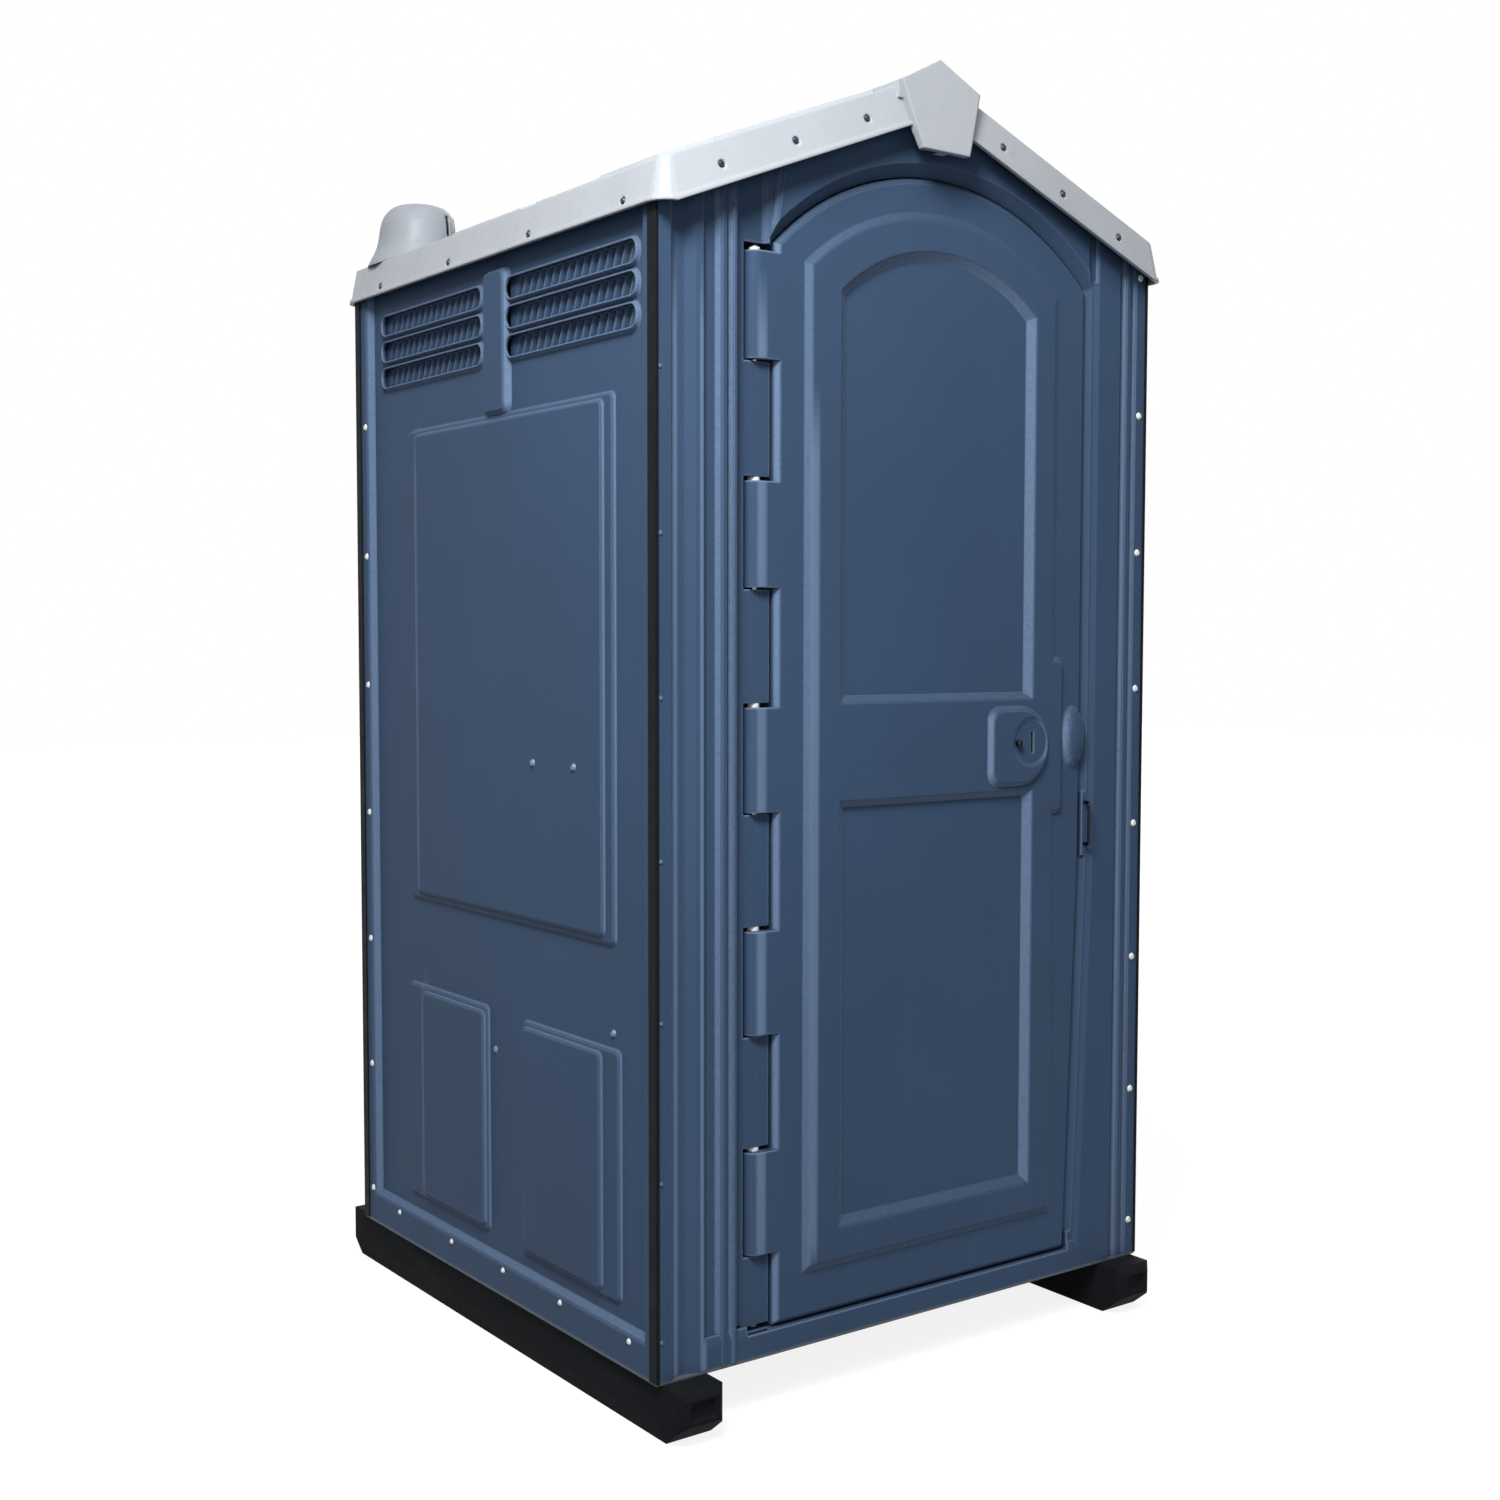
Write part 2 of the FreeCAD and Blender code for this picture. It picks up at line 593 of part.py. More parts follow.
def front_frame():
    top_z = 2280.0
    field = prism_z([(LEFT_JAMB_X - 2, JAMB_Y), (STEP_X - 11, JAMB_Y), (STEP_X, HEADER_Y),
                     (RIGHT_JAMB_X + 6, HEADER_Y), (RIGHT_JAMB_X + 6, BACK_Y), (LEFT_JAMB_X - 2, BACK_Y)],
                    WALL_Z0, top_z)
    relief = [jamb(LEFT_FLUTES, -HALF_W, LEFT_JAMB_X, top_z), jamb(RIGHT_FLUTES, RIGHT_JAMB_X, HALF_W, top_z), field]
    relief.append(Part.makeLoft([jamb_step(18.0, HEADER_Y + 1), jamb_step(29.0, FRONT_Y)], True, True))
    relief.append(prism_x([(BACK_Y, WALL_Z0), (FRONT_Y, WALL_Z0), (FRONT_Y, BAND_TOP_Z - 14),
                           (HEADER_Y - 1.5, BAND_TOP_Z), (BACK_Y, BAND_TOP_Z)], *SILL))
    relief.append(Part.makeLoft([header_pad(HEADER_Y + 1, 9.0, top_z), header_pad(HEADER_PAD_Y, 0.0, top_z)],
                                True, True))
    brow = Part.makeLoft([door_wire(-DOOR_GAP - 22, HEADER_PAD_Y - 1), door_wire(-DOOR_GAP, HEADER_Y + 10)],
                         True, True)
    spans = [(LEFT_JAMB_X, HALF_W, DOOR_SPRING_Z - 60, 2300), (0, HALF_W, BAND_TOP_Z + 20, STAPLE_Z0 - 22),
             (0, HALF_W, STAPLE_Z1 + 22, DOOR_SPRING_Z - 60)]
    brow = brow.common(fused([box(x0, x1, ROOF_FRONT_Y, BACK_Y, z0, z1) for x0, x1, z0, z1 in spans]))
    relief = fused(relief).cut(brow)
    sheet = relief.cut(moved(relief, y=SHEET))
    arch, pocket = opening_prism(0, -700, -400), hinge_pocket(0, -700, -400)
    liner = opening_prism(LINER_T, HEADER_Y + 1, LINER_BACK_Y).cut(arch).cut(pocket).cut(brow)
    stop = opening_prism(LINER_T, LINER_BACK_Y - LINER_T, LINER_BACK_Y).cut(door_prism(STOP_IN, -700, -400))
    sheet = joined([sheet.cut(arch).cut(pocket), liner, stop.cut(pocket), hinge_trough()])
    bosses = [rod_y(BOSS_R, ROOF_FRONT_Y, HEADER_Y + 2, s * x, z)
              for x, z in FASCIA_RIVETS for s in (-1, 1)]
    fingers = [finger(z0, z1) for z0, z1 in finger_spans()]
    sheet = joined([sheet] + fingers + bosses)
    sheet = sheet.cut(rod_z(ROD_R + FIT, FINGER_FOOT_Z - 1, KNUCKLE_TOP_Z, HINGE_X, HINGE_Y))
    holes = [rod_y(RIVET_SHANK_R + FIT, FRONT_Y - 1, FRONT_Y + 20, x, z)
             for z in rivet_levels() for x in (-LEFT_CORNER_X, CORNER_X)]
    holes += [rod_y(RIVET_SHANK_R + FIT, ROOF_FRONT_Y, FRONT_Y, s * x, z) for x, z in FASCIA_RIVETS for s in (-1, 1)]
    sheet = drill(sheet.common(ROOM), holes)
    return max(sheet.Solids, key=lambda solid: solid.Volume)


def jamb_step(reach, y):
    # raised flat beside the door's free edge, leaning in at the foot with the door
    edge = DOOR_RIGHT + reach
    flat = RIGHT_JAMB_X + 46
    points = [(edge - DOOR_FOOT_IN, BAND_TOP_Z - 12), (edge, DOOR_TAPER_Z), (edge, 1960), (flat, 1960),
              (flat, BAND_TOP_Z - 12)]
    ring = [V(x, y, z) for x, z in points]
    return Part.makePolygon(ring + ring[:1])


def fascia_y(x, z):
    return ROOF_FRONT_Y + FASCIA_DRAFT * (z - FASCIA_RIDGE_Z + ROOF_SLOPE * abs(x)) / FASCIA_H


def finger(z0, z1):
    return box(POCKET_X0 - 2, HINGE_X + KNUCKLE_R + 3, JAMB_Y, POCKET_BACK_Y + 2, z0, z1)


# Hinge rod, white bushes and the closing spring round the foot of the rod
SPRING_R = 11.0
SPRING_WIRE = 2.6
SPRING_TURNS = 8
SPRING_PITCH = 6.6
SPRING_Z0 = finger_spans()[-1][1]
SPRING_ROOM = 60.0


def hinge_rod():
    rod = rod_z(ROD_R, FINGER_FOOT_Z - 6, KNUCKLE_TOP_Z + BUSH_LIP + 3, HINGE_X, HINGE_Y)
    head = Part.makeCone(ROD_R + 2, ROD_R + 3, 5.0, V(HINGE_X, HINGE_Y, FINGER_FOOT_Z - 5.3))
    return fused([rod, head])


def hinge_bushes():
    bushes = []
    for z0, z1 in knuckle_spans():
        lip = rod_z(BUSH_R, z1, z1 + BUSH_LIP, HINGE_X, HINGE_Y)
        sleeve = rod_z(BUSH_SLEEVE_R, z1 - BUSH_SLEEVE, z1 + 1, HINGE_X, HINGE_Y)
        bore = rod_z(ROD_R + RUN, z1 - BUSH_SLEEVE - 1, z1 + BUSH_LIP + 1, HINGE_X, HINGE_Y)
        bushes.append(fused([lip, sleeve]).cut(bore))
    return Part.makeCompound(bushes)


def closer_spring():
    # torsion spring as one coil, each half turn an arc pair rising at a steady rate
    edges = []
    mean = SPRING_R
    z_base = SPRING_Z0 + SPRING_WIRE / 2 + 0.15
    steps = SPRING_TURNS * 4

    def at(quarter):
        angle = quarter * math.pi / 2
        return V(HINGE_X + mean * math.cos(angle), HINGE_Y + mean * math.sin(angle),
                 z_base + SPRING_PITCH * quarter / 4)

    for k in range(steps):
        edges.append(Part.Arc(at(k), at(k + 0.5), at(k + 1)).toShape())
    path = Part.Wire(edges)
    start = Part.Wire([Part.makeCircle(SPRING_WIRE / 2, at(0), V(0, 1, 0))])
    gap = SPRING_PITCH - SPRING_WIRE
    print("closer spring: least gap between turns", round(gap, 2))
    return path.makePipeShell([start], True, False)


# Door: outer skin drawn as a relief block, inner skin, knuckles
BAND_Y = DOOR_Y - 8.0
RECESS_Y = BAND_Y + 12.0
MOULDING = (-264.0, 327.0, 216.0, 1917.0, 115.0)
MOULDING_DRAFT = 15.0
RECESS = (-190.0, 266.0, 284.0, 1877.0, 89.0)
CROSS_BAND = (1022.0, 1185.0)
LOCK_ZONE = (286.0, 346.0, 972.0, 1262.0)
LOCK_PAD = (149.0, 306.0, 1025.0, 1176.0)
PAD_Y = BAND_Y - 9.0
DISH = (254.0, 1107.0, 46.0, 40.0)
DISH_Y = PAD_Y + 4.0
GRIP = (374.0, 1113.0, 31.0, 22.0, 58.0)


def arch_block(shape, inset0, y0, inset1, y1):
    return Part.makeLoft([arch_wire(*shape, inset0, y0), arch_wire(*shape, inset1, y1)], True, True)


def lock_pad(y0, y1, draft):
    # square at the left with rounded corners, half round at the right
    def wire(inset, y):
        x0, x1, z0, z1 = LOCK_PAD
        r = (z1 - z0) / 2
        mid_x, mid_z = x1 - r, (z0 + z1) / 2
        x0, x1, z0, z1 = x0 + inset, x1 - inset, z0 + inset, z1 - inset
        c = 24.0
        s = c * (1 - math.sqrt(0.5))
        p = [V(mid_x, y, z0), V(x1, y, mid_z), V(mid_x, y, z1), V(x0 + c, y, z1), V(x0 + s, y, z1 - s),
             V(x0, y, z1 - c), V(x0, y, z0 + c), V(x0 + s, y, z0 + s), V(x0 + c, y, z0)]
        return Part.Wire([Part.Arc(p[0], p[1], p[2]).toShape(), Part.LineSegment(p[2], p[3]).toShape(),
                          Part.Arc(p[3], p[4], p[5]).toShape(), Part.LineSegment(p[5], p[6]).toShape(),
                          Part.Arc(p[6], p[7], p[8]).toShape(), Part.LineSegment(p[8], p[0]).toShape()])
    return Part.makeLoft([wire(0, y0), wire(draft, y1)], True, True)


def grip_bulge():
    # egg-shaped pull that swells out of the skin beside the door's edge
    ball = Part.makeSphere(1.0, V(0, 0, 0), V(0, 0, 1), -90, 90, 360)
    matrix = FreeCAD.Matrix()
    matrix.scale(V(*GRIP[2:]))
    egg = ball.transformGeometry(matrix)
    return moved(egg, GRIP[0], DOOR_Y + 4, GRIP[1])


def door_relief():
    relief = fused([door_taper(9.0, DOOR_Y, 0.0, DOOR_Y + 9), door_prism(0, DOOR_Y + 9, BACK_Y),
                    arch_block(MOULDING, 0, DOOR_Y + 1, MOULDING_DRAFT, BAND_Y)])
    deep = arch_block(RECESS, 0, BAND_Y - 0.01, 16, RECESS_Y)
    deep = deep.cut(prism_x([(BAND_Y - 1, CROSS_BAND[0]), (RECESS_Y + 1, CROSS_BAND[0] - 14),
                             (RECESS_Y + 1, CROSS_BAND[1] + 14), (BAND_Y - 1, CROSS_BAND[1])],
                            -500, 500))
    relief = relief.cut(deep)
    relief = fused([relief, pad(on_front, LOCK_ZONE, DOOR_Y + 1, BAND_Y, 8.0),
                    lock_pad(BAND_Y + 4, PAD_Y, 11.0), grip_bulge().common(door_prism(2.0, -620, BACK_Y))])
    x, z, r0, r1 = DISH
    return relief.cut(Part.makeCone(r0, r1, DISH_Y - PAD_Y, V(x, PAD_Y, z), V(0, 1, 0)))


def knuckle(z0, z1):
    barrel = rod_z(KNUCKLE_R, z0, z1, HINGE_X, HINGE_Y)
    web = box(HINGE_X, DOOR_LEFT + 14, DOOR_Y, DOOR_BACK_Y - DOOR_SKIN - FIT, z0, z1)
    return fused([barrel, web])


def door_outer_skin():
    relief = door_relief()
    skin = relief.cut(moved(relief, y=DOOR_SKIN)).common(box(-700, 700, -700, DOOR_BACK_Y - DOOR_SKIN, 0, 3000))
    rim = door_prism(0, DOOR_Y + 9, DOOR_BACK_Y - DOOR_SKIN - FIT).cut(door_prism(DOOR_SKIN, -700, -400))
    skin = fused([skin, rim] + [knuckle(z0, z1) for z0, z1 in knuckle_spans()])
    for z0, z1 in knuckle_spans():
        skin = skin.cut(rod_z(ROD_R + FIT, z0 - 1, z1 + 1, HINGE_X, HINGE_Y))
        skin = skin.cut(rod_z(BUSH_SLEEVE_R + RUN, z1 - BUSH_SLEEVE - FIT, z1 + 1, HINGE_X, HINGE_Y))
    skin = skin.cut(rod_z(SPRING_R + 3, SPRING_Z0, SPRING_Z0 + SPRING_ROOM, HINGE_X, HINGE_Y))
    skin = skin.cut(rod_y(SPINDLE_R + RUN, -620, -500, LOCK_X, LOCK_Z))
    slot = round_rect(on_front, SLOT_X - 3.5, SLOT_X + 3.5, LOCK_Z - 18, LOCK_Z + 22, -620, 3.4)
    skin = skin.cut(Part.Face(slot).extrude(V(0, 60, 0)))
    return max(skin.Solids, key=lambda s: s.Volume)


def door_inner_skin():
    front = DOOR_BACK_Y - DOOR_SKIN
    plate = door_prism(0, front, DOOR_BACK_Y)
    for z0, z1 in ((260.0, 980.0), (1230.0, 1660.0)):
        well = pad(on_front, (-200.0, 250.0, z0, z1), DOOR_BACK_Y, front - 5, 9.0, 24.0)
        hollow = pad(on_front, (-196.0, 246.0, z0 + 4, z1 - 4), DOOR_BACK_Y + 0.01, front - 1, 9.0, 24.0)
        plate = fused([plate, well]).cut(hollow)
    plate = plate.cut(rod_y(SPINDLE_R + RUN, -620, -500, LOCK_X, LOCK_Z))
    return plate


# Latch: spindle with its knob and crank, indicator disc, lever, sliding bolt, case, keeper
SPINDLE_R = 5.0
SLOT_X = 258.5
DISC_R = 46.0
KNOB_R = 6.5
CRANK_R = BOLT_TRAVEL / math.sqrt(2)
CRANK_PIN_R = 3.0
CRANK_T = 2.0
CASE_Y0 = DOOR_BACK_Y
CASE_DEPTH = 26.0
CASE_X0 = LOCK_X - 44.0
CASE_X1 = LOCK_X + 80.0
CASE_HALF_H = 34.0
BOLT_END_X = 384.0
LEVER_L = 96.0


def lock_spindle():
    case_back = CASE_Y0 + CASE_DEPTH
    rod = rod_y(SPINDLE_R, DISH_Y - FIT, case_back + 22, LOCK_X, LOCK_Z)
    knob = rod_y(KNOB_R, DISH_Y - 9.0, DISH_Y - FIT, LOCK_X, LOCK_Z)
    knob = knob.makeChamfer(1.6, [knob.Edges[0], knob.Edges[2]])
    coin_slot = box(LOCK_X - 1.0, LOCK_X + 1.0, DISH_Y - 10.0, DISH_Y - 7.0, LOCK_Z - 10, LOCK_Z + 10)
    pin_x = LOCK_X - CRANK_R * math.cos(math.pi / 4)
    pin_z = LOCK_Z + CRANK_R * math.sin(math.pi / 4)
    arm_y = BOLT_Y + BOLT_T + 0.4
    arm = rod_y(CRANK_PIN_R + 3.0, arm_y, arm_y + CRANK_T, pin_x, pin_z)
    hub = rod_y(SPINDLE_R + 4.0, arm_y, arm_y + CRANK_T, LOCK_X, LOCK_Z)
    link = box(-6, 6, arm_y, arm_y + CRANK_T, 0, CRANK_R)
    link.rotate(V(0, 0, 0), V(0, 1, 0), -45)
    pin = rod_y(CRANK_PIN_R, BOLT_Y + 1.0, arm_y + 1, pin_x, pin_z)
    return fused([rod, knob.cut(coin_slot), hub, arm, moved(link, LOCK_X, 0, LOCK_Z), pin])


def indicator_disc():
    y0 = DISH_Y + DOOR_SKIN + 0.5
    disc = rod_y(DISC_R, y0, y0 + 1.5, LOCK_X, LOCK_Z)
    return disc.cut(rod_y(SPINDLE_R, y0 - 1, y0 + 3, LOCK_X, LOCK_Z))


def latch_lever():
    y0 = CASE_Y0 + CASE_DEPTH + FIT
    hub = rod_y(15.0, y0, y0 + 20, LOCK_X, LOCK_Z)
    arm = prism_y([(0, -10), (-LEVER_L, -6), (-LEVER_L - 5, 0), (-LEVER_L, 6), (0, 10)], y0 + 8, y0 + 18)
    lever = fused([hub, moved(arm, LOCK_X, 0, LOCK_Z)])
    return lever.cut(rod_y(SPINDLE_R, y0 - 1, y0 + 40, LOCK_X, LOCK_Z))


def latch_bolt():
    x0 = LOCK_X - BOLT_TRAVEL / 2 - 11.0
    bar = box(x0, BOLT_END_X, BOLT_Y, BOLT_Y + BOLT_T, LOCK_Z - BOLT_W / 2, LOCK_Z + BOLT_W / 2)
    yoke = box(x0, x0 + 22.0, BOLT_Y, BOLT_Y + BOLT_T, LOCK_Z - BOLT_W / 2, LOCK_Z + CRANK_R + 9.0)
    window = box(LOCK_X - BOLT_TRAVEL / 2 - CRANK_PIN_R - 0.7, LOCK_X - BOLT_TRAVEL / 2 + CRANK_PIN_R + 0.7,
                 BOLT_Y - 1, BOLT_Y + BOLT_T + 1, LOCK_Z + SPINDLE_R + 2, LOCK_Z + CRANK_R + CRANK_PIN_R + 1.5)
    slot = box(LOCK_X - BOLT_TRAVEL - SPINDLE_R - 1.5, LOCK_X + SPINDLE_R + 1.5, BOLT_Y - 1, BOLT_Y + BOLT_T + 1,
               LOCK_Z - SPINDLE_R - 0.6, LOCK_Z + SPINDLE_R + 0.6)
    tip = prism_z([(BOLT_END_X - 8, BOLT_Y - 1), (BOLT_END_X + 1, BOLT_Y + 4), (BOLT_END_X + 1, BOLT_Y - 1)],
                  LOCK_Z - 20, LOCK_Z + 20)
    return fused([bar, yoke]).cut(window).cut(slot).cut(tip)


def latch_case():
    z0, z1 = LOCK_Z - CASE_HALF_H, LOCK_Z + CASE_HALF_H
    y1 = CASE_Y0 + CASE_DEPTH
    shell = box(CASE_X0, CASE_X1, CASE_Y0, y1, z0, z1)
    edges = [e for e in shell.Edges if abs(e.Vertexes[0].Y - e.Vertexes[-1].Y) > 5]
    shell = shell.makeFillet(8.0, edges)
    inside = box(CASE_X0 + 3, CASE_X1 - 3, CASE_Y0 - 1, y1 - 3, z0 + 3, z1 - 3)
    mouth = box(CASE_X1 - 10, CASE_X1 + 1, BOLT_Y - FIT, BOLT_Y + BOLT_T + FIT,
                LOCK_Z - BOLT_W / 2 - FIT, LOCK_Z + BOLT_W / 2 + FIT)
    guide_x = CASE_X1 + 34
    guide = box(guide_x, guide_x + 16, CASE_Y0, BOLT_Y + BOLT_T + 5, LOCK_Z - 19, LOCK_Z + 19)
    guide = guide.cut(box(guide_x - 1, guide_x + 17, BOLT_Y - FIT, BOLT_Y + BOLT_T + FIT,
                          LOCK_Z - BOLT_W / 2 - FIT, LOCK_Z + BOLT_W / 2 + FIT))
    strap = box(CASE_X1 - 4, guide_x + 1, CASE_Y0, CASE_Y0 + 3, LOCK_Z - 19, LOCK_Z + 19)
    shell = shell.cut(inside).cut(mouth).cut(rod_y(SPINDLE_R + RUN, CASE_Y0, y1 + 1, LOCK_X, LOCK_Z))
    return fused([shell, strap, guide])


def latch_keeper():
    y0, y1 = LINER_BACK_Y, BOLT_Y + BOLT_T + 4
    x0, x1 = DOOR_RIGHT - 10, DOOR_RIGHT + DOOR_GAP + 4
    bridge = box(x0, x1, y1 - 3, y1, LOCK_Z - 26, LOCK_Z + 26)
    legs = [box(x0, x1, y0, y1, LOCK_Z + s * 19 - 6, LOCK_Z + s * 19 + 6) for s in (-1, 1)]
    feet = [box(x0, x1, y0, y0 + 3, LOCK_Z + s * 32 - 14, LOCK_Z + s * 32 + 14) for s in (-1, 1)]
    return fused([bridge] + legs + feet)


def coat_hook():
    x, z = 40.0, 1760.0
    y0 = DOOR_BACK_Y
    plate = pad(on_front, (x - 16, x + 16, z - 30, z + 30), y0, y0 + 4, 1.5, 8.0)
    stem = rod_y(5.0, y0 + 2, y0 + 30, x, z - 10)
    up = rod_z(5.0, z - 10, z + 18, x, y0 + 30)
    bend = Part.makeSphere(5.0, V(x, y0 + 30, z - 10))
    tip = Part.makeSphere(8.0, V(x, y0 + 30, z + 20))
    return fused([plate, stem, bend, up, tip])


# Padlock staple beside the door's edge
STAPLE_X = DOOR_RIGHT + 11.5
STAPLE_Z0 = 909.0
STAPLE_Z1 = 988.0
STAPLE_WIRE = 3.2
STAPLE_REACH = 20.0
STAPLE_LEAN = 20.0


def staple():
    reach = HEADER_Y - STAPLE_REACH
    bars = [rod_y(STAPLE_WIRE, reach + 8, HEADER_Y + 6, STAPLE_X, z) for z in (STAPLE_Z0, STAPLE_Z1)]
    grip = rod_z(STAPLE_WIRE, STAPLE_Z0 + 8, STAPLE_Z1 - 8, STAPLE_X, reach)
    corners = []
    for z in (STAPLE_Z0, STAPLE_Z1):
        s = 1 if z == STAPLE_Z0 else -1
        centre = V(STAPLE_X, reach + 8, z + s * 8)
        arc = Part.Arc(V(STAPLE_X, reach, z + s * 8), centre + V(0, -8 * math.sqrt(0.5), -s * 8 * math.sqrt(0.5)),
                       V(STAPLE_X, reach + 8, z)).toShape()
        ring = Part.Wire([Part.makeCircle(STAPLE_WIRE, V(STAPLE_X, reach, z + s * 8), V(0, 0, 1))])
        corners.append(Part.Wire([arc]).makePipeShell([ring], True, False))
    loop = fused(bars + [grip] + corners)
    loop.rotate(V(STAPLE_X, HEADER_Y, 0), V(0, 0, 1), -STAPLE_LEAN)
    return loop.common(box(DOOR_LEFT, HALF_W, ROOF_FRONT_Y, HEADER_Y, STAPLE_Z0 - 20, STAPLE_Z1 + 20))


# Corner trims: thin angle over each vertical corner
TRIM_T = 2.5
TRIM_SIDE = 20.0
TRIM_FACE = 6.0


def corner_trim(left, front):
    x_out = HALF_W + FIT + TRIM_T
    x_in = HALF_W + FIT
    if front:
        y_out, y_in = FRONT_Y - FIT - TRIM_T, FRONT_Y - FIT
        angle = [(x_out, y_out), (x_out, y_in + TRIM_SIDE), (x_in, y_in + TRIM_SIDE), (x_in, y_in),
                 (x_out - TRIM_FACE, y_in), (x_out - TRIM_FACE, y_out)]
    else:
        y_out, y_in = REAR_Y + FIT + TRIM_T, REAR_Y + FIT
        angle = [(x_out, y_out), (x_out, y_in - TRIM_SIDE), (x_in, y_in - TRIM_SIDE), (x_in, y_in),
                 (x_out - TRIM_FACE, y_in), (x_out - TRIM_FACE, y_out)]
    strip = prism_z(angle, WALL_Z0, 2100)
    edges = [e for e in strip.Edges if e.Length > 1000 and abs(e.Vertexes[0].X - x_out) < 0.1
             and abs(e.Vertexes[0].Y - y_out) < 0.1]
    strip = strip.makeFillet(2.4, edges).common(ROOM)
    return mirrored(strip) if left else strip


# Rivets, screws and bolts: domed heads on shanks
def domed(place, x, y, z, r, rise, shank_r, shank):
    # head on the outer face, its shank going inward
    direction = {"left": V(-1, 0, 0), "right": V(1, 0, 0), "front": V(0, -1, 0), "rear": V(0, 1, 0)}[place]
    seat = V(x, y, z)
    head = Part.makeCone(r, r * 0.6, rise, seat, direction)
    rod = Part.makeCylinder(shank_r, shank, seat, direction * -1)
    return fused([head, rod])


def rivet_levels():
    return [RIVET_TOP_Z - RIVET_PITCH * k for k in range(-1, RIVET_ROWS)]


CORNER_X = HALF_W - 17.0
LEFT_CORNER_X = HALF_W - 8.0
JAMB_RIVET_R = 4.4
SIDE_RIVET_Y = REAR_Y - 38.0


def corner_rivets():
    rivets = []
    for z in rivet_levels():
        rivets.append(domed("front", CORNER_X, FRONT_Y, z, RIVET_R, RIVET_RISE, RIVET_SHANK_R, 2 * SHEET + 1))
        for s, side in ((-1, "left"), (1, "right")):
            if z < 1970:
                rivets.append(domed(side, s * HALF_W, SIDE_RIVET_Y, z, RIVET_R, RIVET_RISE, RIVET_SHANK_R,
                                    2 * SHEET + 1))
    return Part.makeCompound(rivets)


def jamb_rivets():
    return Part.makeCompound([domed("front", -LEFT_CORNER_X, FRONT_Y, z, JAMB_RIVET_R, RIVET_RISE - 1,
                                    RIVET_SHANK_R, 2 * SHEET + 1) for z in rivet_levels()])


def base_screws():
    screws = []
    for s, side in ((-1, "left"), (1, "right")):
        for y in SCREW_YS:
            screws.append(domed(side, s * HALF_W, y, SCREW_Z, RIVET_R * 0.8, RIVET_RISE, RIVET_SHANK_R,
                                SHEET + BASE_UPSTAND_T))
    for x in REAR_SCREW_XS:
        screws.append(domed("rear", x, REAR_Y, REAR_SCREW_Z, RIVET_R * 0.8, RIVET_RISE, RIVET_SHANK_R,
                            SHEET + BASE_UPSTAND_T))
    return Part.makeCompound(screws)


DIMPLE = 2.0


def roof_rivets():
    rivets = []
    for x, z in FASCIA_RIVETS:
        for s in (-1, 1):
            rivets.append(domed("front", s * x, fascia_y(x, z) + DIMPLE, z, 6.0, 3.5, RIVET_SHANK_R, 14.0))
    for y in EAVE_RIVET_YS:
        depth = eave_x(EAVE_RIVET_Z)
        rivets.append(domed("left", -depth + DIMPLE, y, EAVE_RIVET_Z, 6.0, 3.5, RIVET_SHANK_R, 12.0))
        rivets.append(domed("right", depth - DIMPLE, y, EAVE_RIVET_Z, 6.0, 3.5, RIVET_SHANK_R, 12.0))
    return Part.makeCompound(rivets)


def eave_x(z):
    # outer face of the drafted eave at a height
    low = FASCIA_RIDGE_Z - ROOF_SLOPE * ROOF_HALF_W
    run = FASCIA_H + ROOF_SLOPE * FASCIA_DRAFT
    return ROOF_HALF_W - FASCIA_DRAFT * (z - low) / run


# Roof: one formed shell with drafted fascias, corner radii, raised fields and a ridge box
def slope_field(y0, y1, x0, x1, rise, inset):
    # raised field on the left slope between x0 (eave side) and x1
    def quad(lift, d):
        corners = [(x0 + d, y0 + d), (x1 - d, y0 + d), (x1 - d, y1 - d), (x0 + d, y1 - d)]
        points = [V(x, y, ROOF_RIDGE_Z + ROOF_SLOPE * x + lift) for x, y in corners]
        return Part.makePolygon(points + [points[0]])
    return Part.makeLoft([quad(-12.0, 0), quad(rise, inset)], True, True)


def ridge_box():
    lean = 20.0
    top = ROOF_RIDGE_Z + RIDGE_BOX_RISE
    shoulder = top - 46.0
    span = top - TAB_Z
    shield = [(0, top), (RIDGE_BOX_HALF, shoulder), (62, 2150), (TAB_HALF, TAB_Z), (-TAB_HALF, TAB_Z),
              (-62, 2150), (-RIDGE_BOX_HALF, shoulder)]
    front = Part.makePolygon([V(x, ROOF_FRONT_Y + 2 - lean * (top - z) / span, z) for x, z in shield + shield[:1]])
    back_y = ROOF_FRONT_Y + 8
    back = Part.makePolygon([V(x, back_y, z) for x, z in shield + shield[:1]])
    tab = Part.makeLoft([front, back], True, True)
    cap = prism_y([(0, top), (RIDGE_BOX_HALF, shoulder), (RIDGE_BOX_HALF, shoulder - 30),
                   (-RIDGE_BOX_HALF, shoulder - 30), (-RIDGE_BOX_HALF, shoulder)], back_y - 1, -420)
    wedge = prism_x([(-500, top + 1), (-400, top + 1), (-400, ROOF_RIDGE_Z - 12)], -200, 200)
    return fused([tab, cap]).cut(wedge)


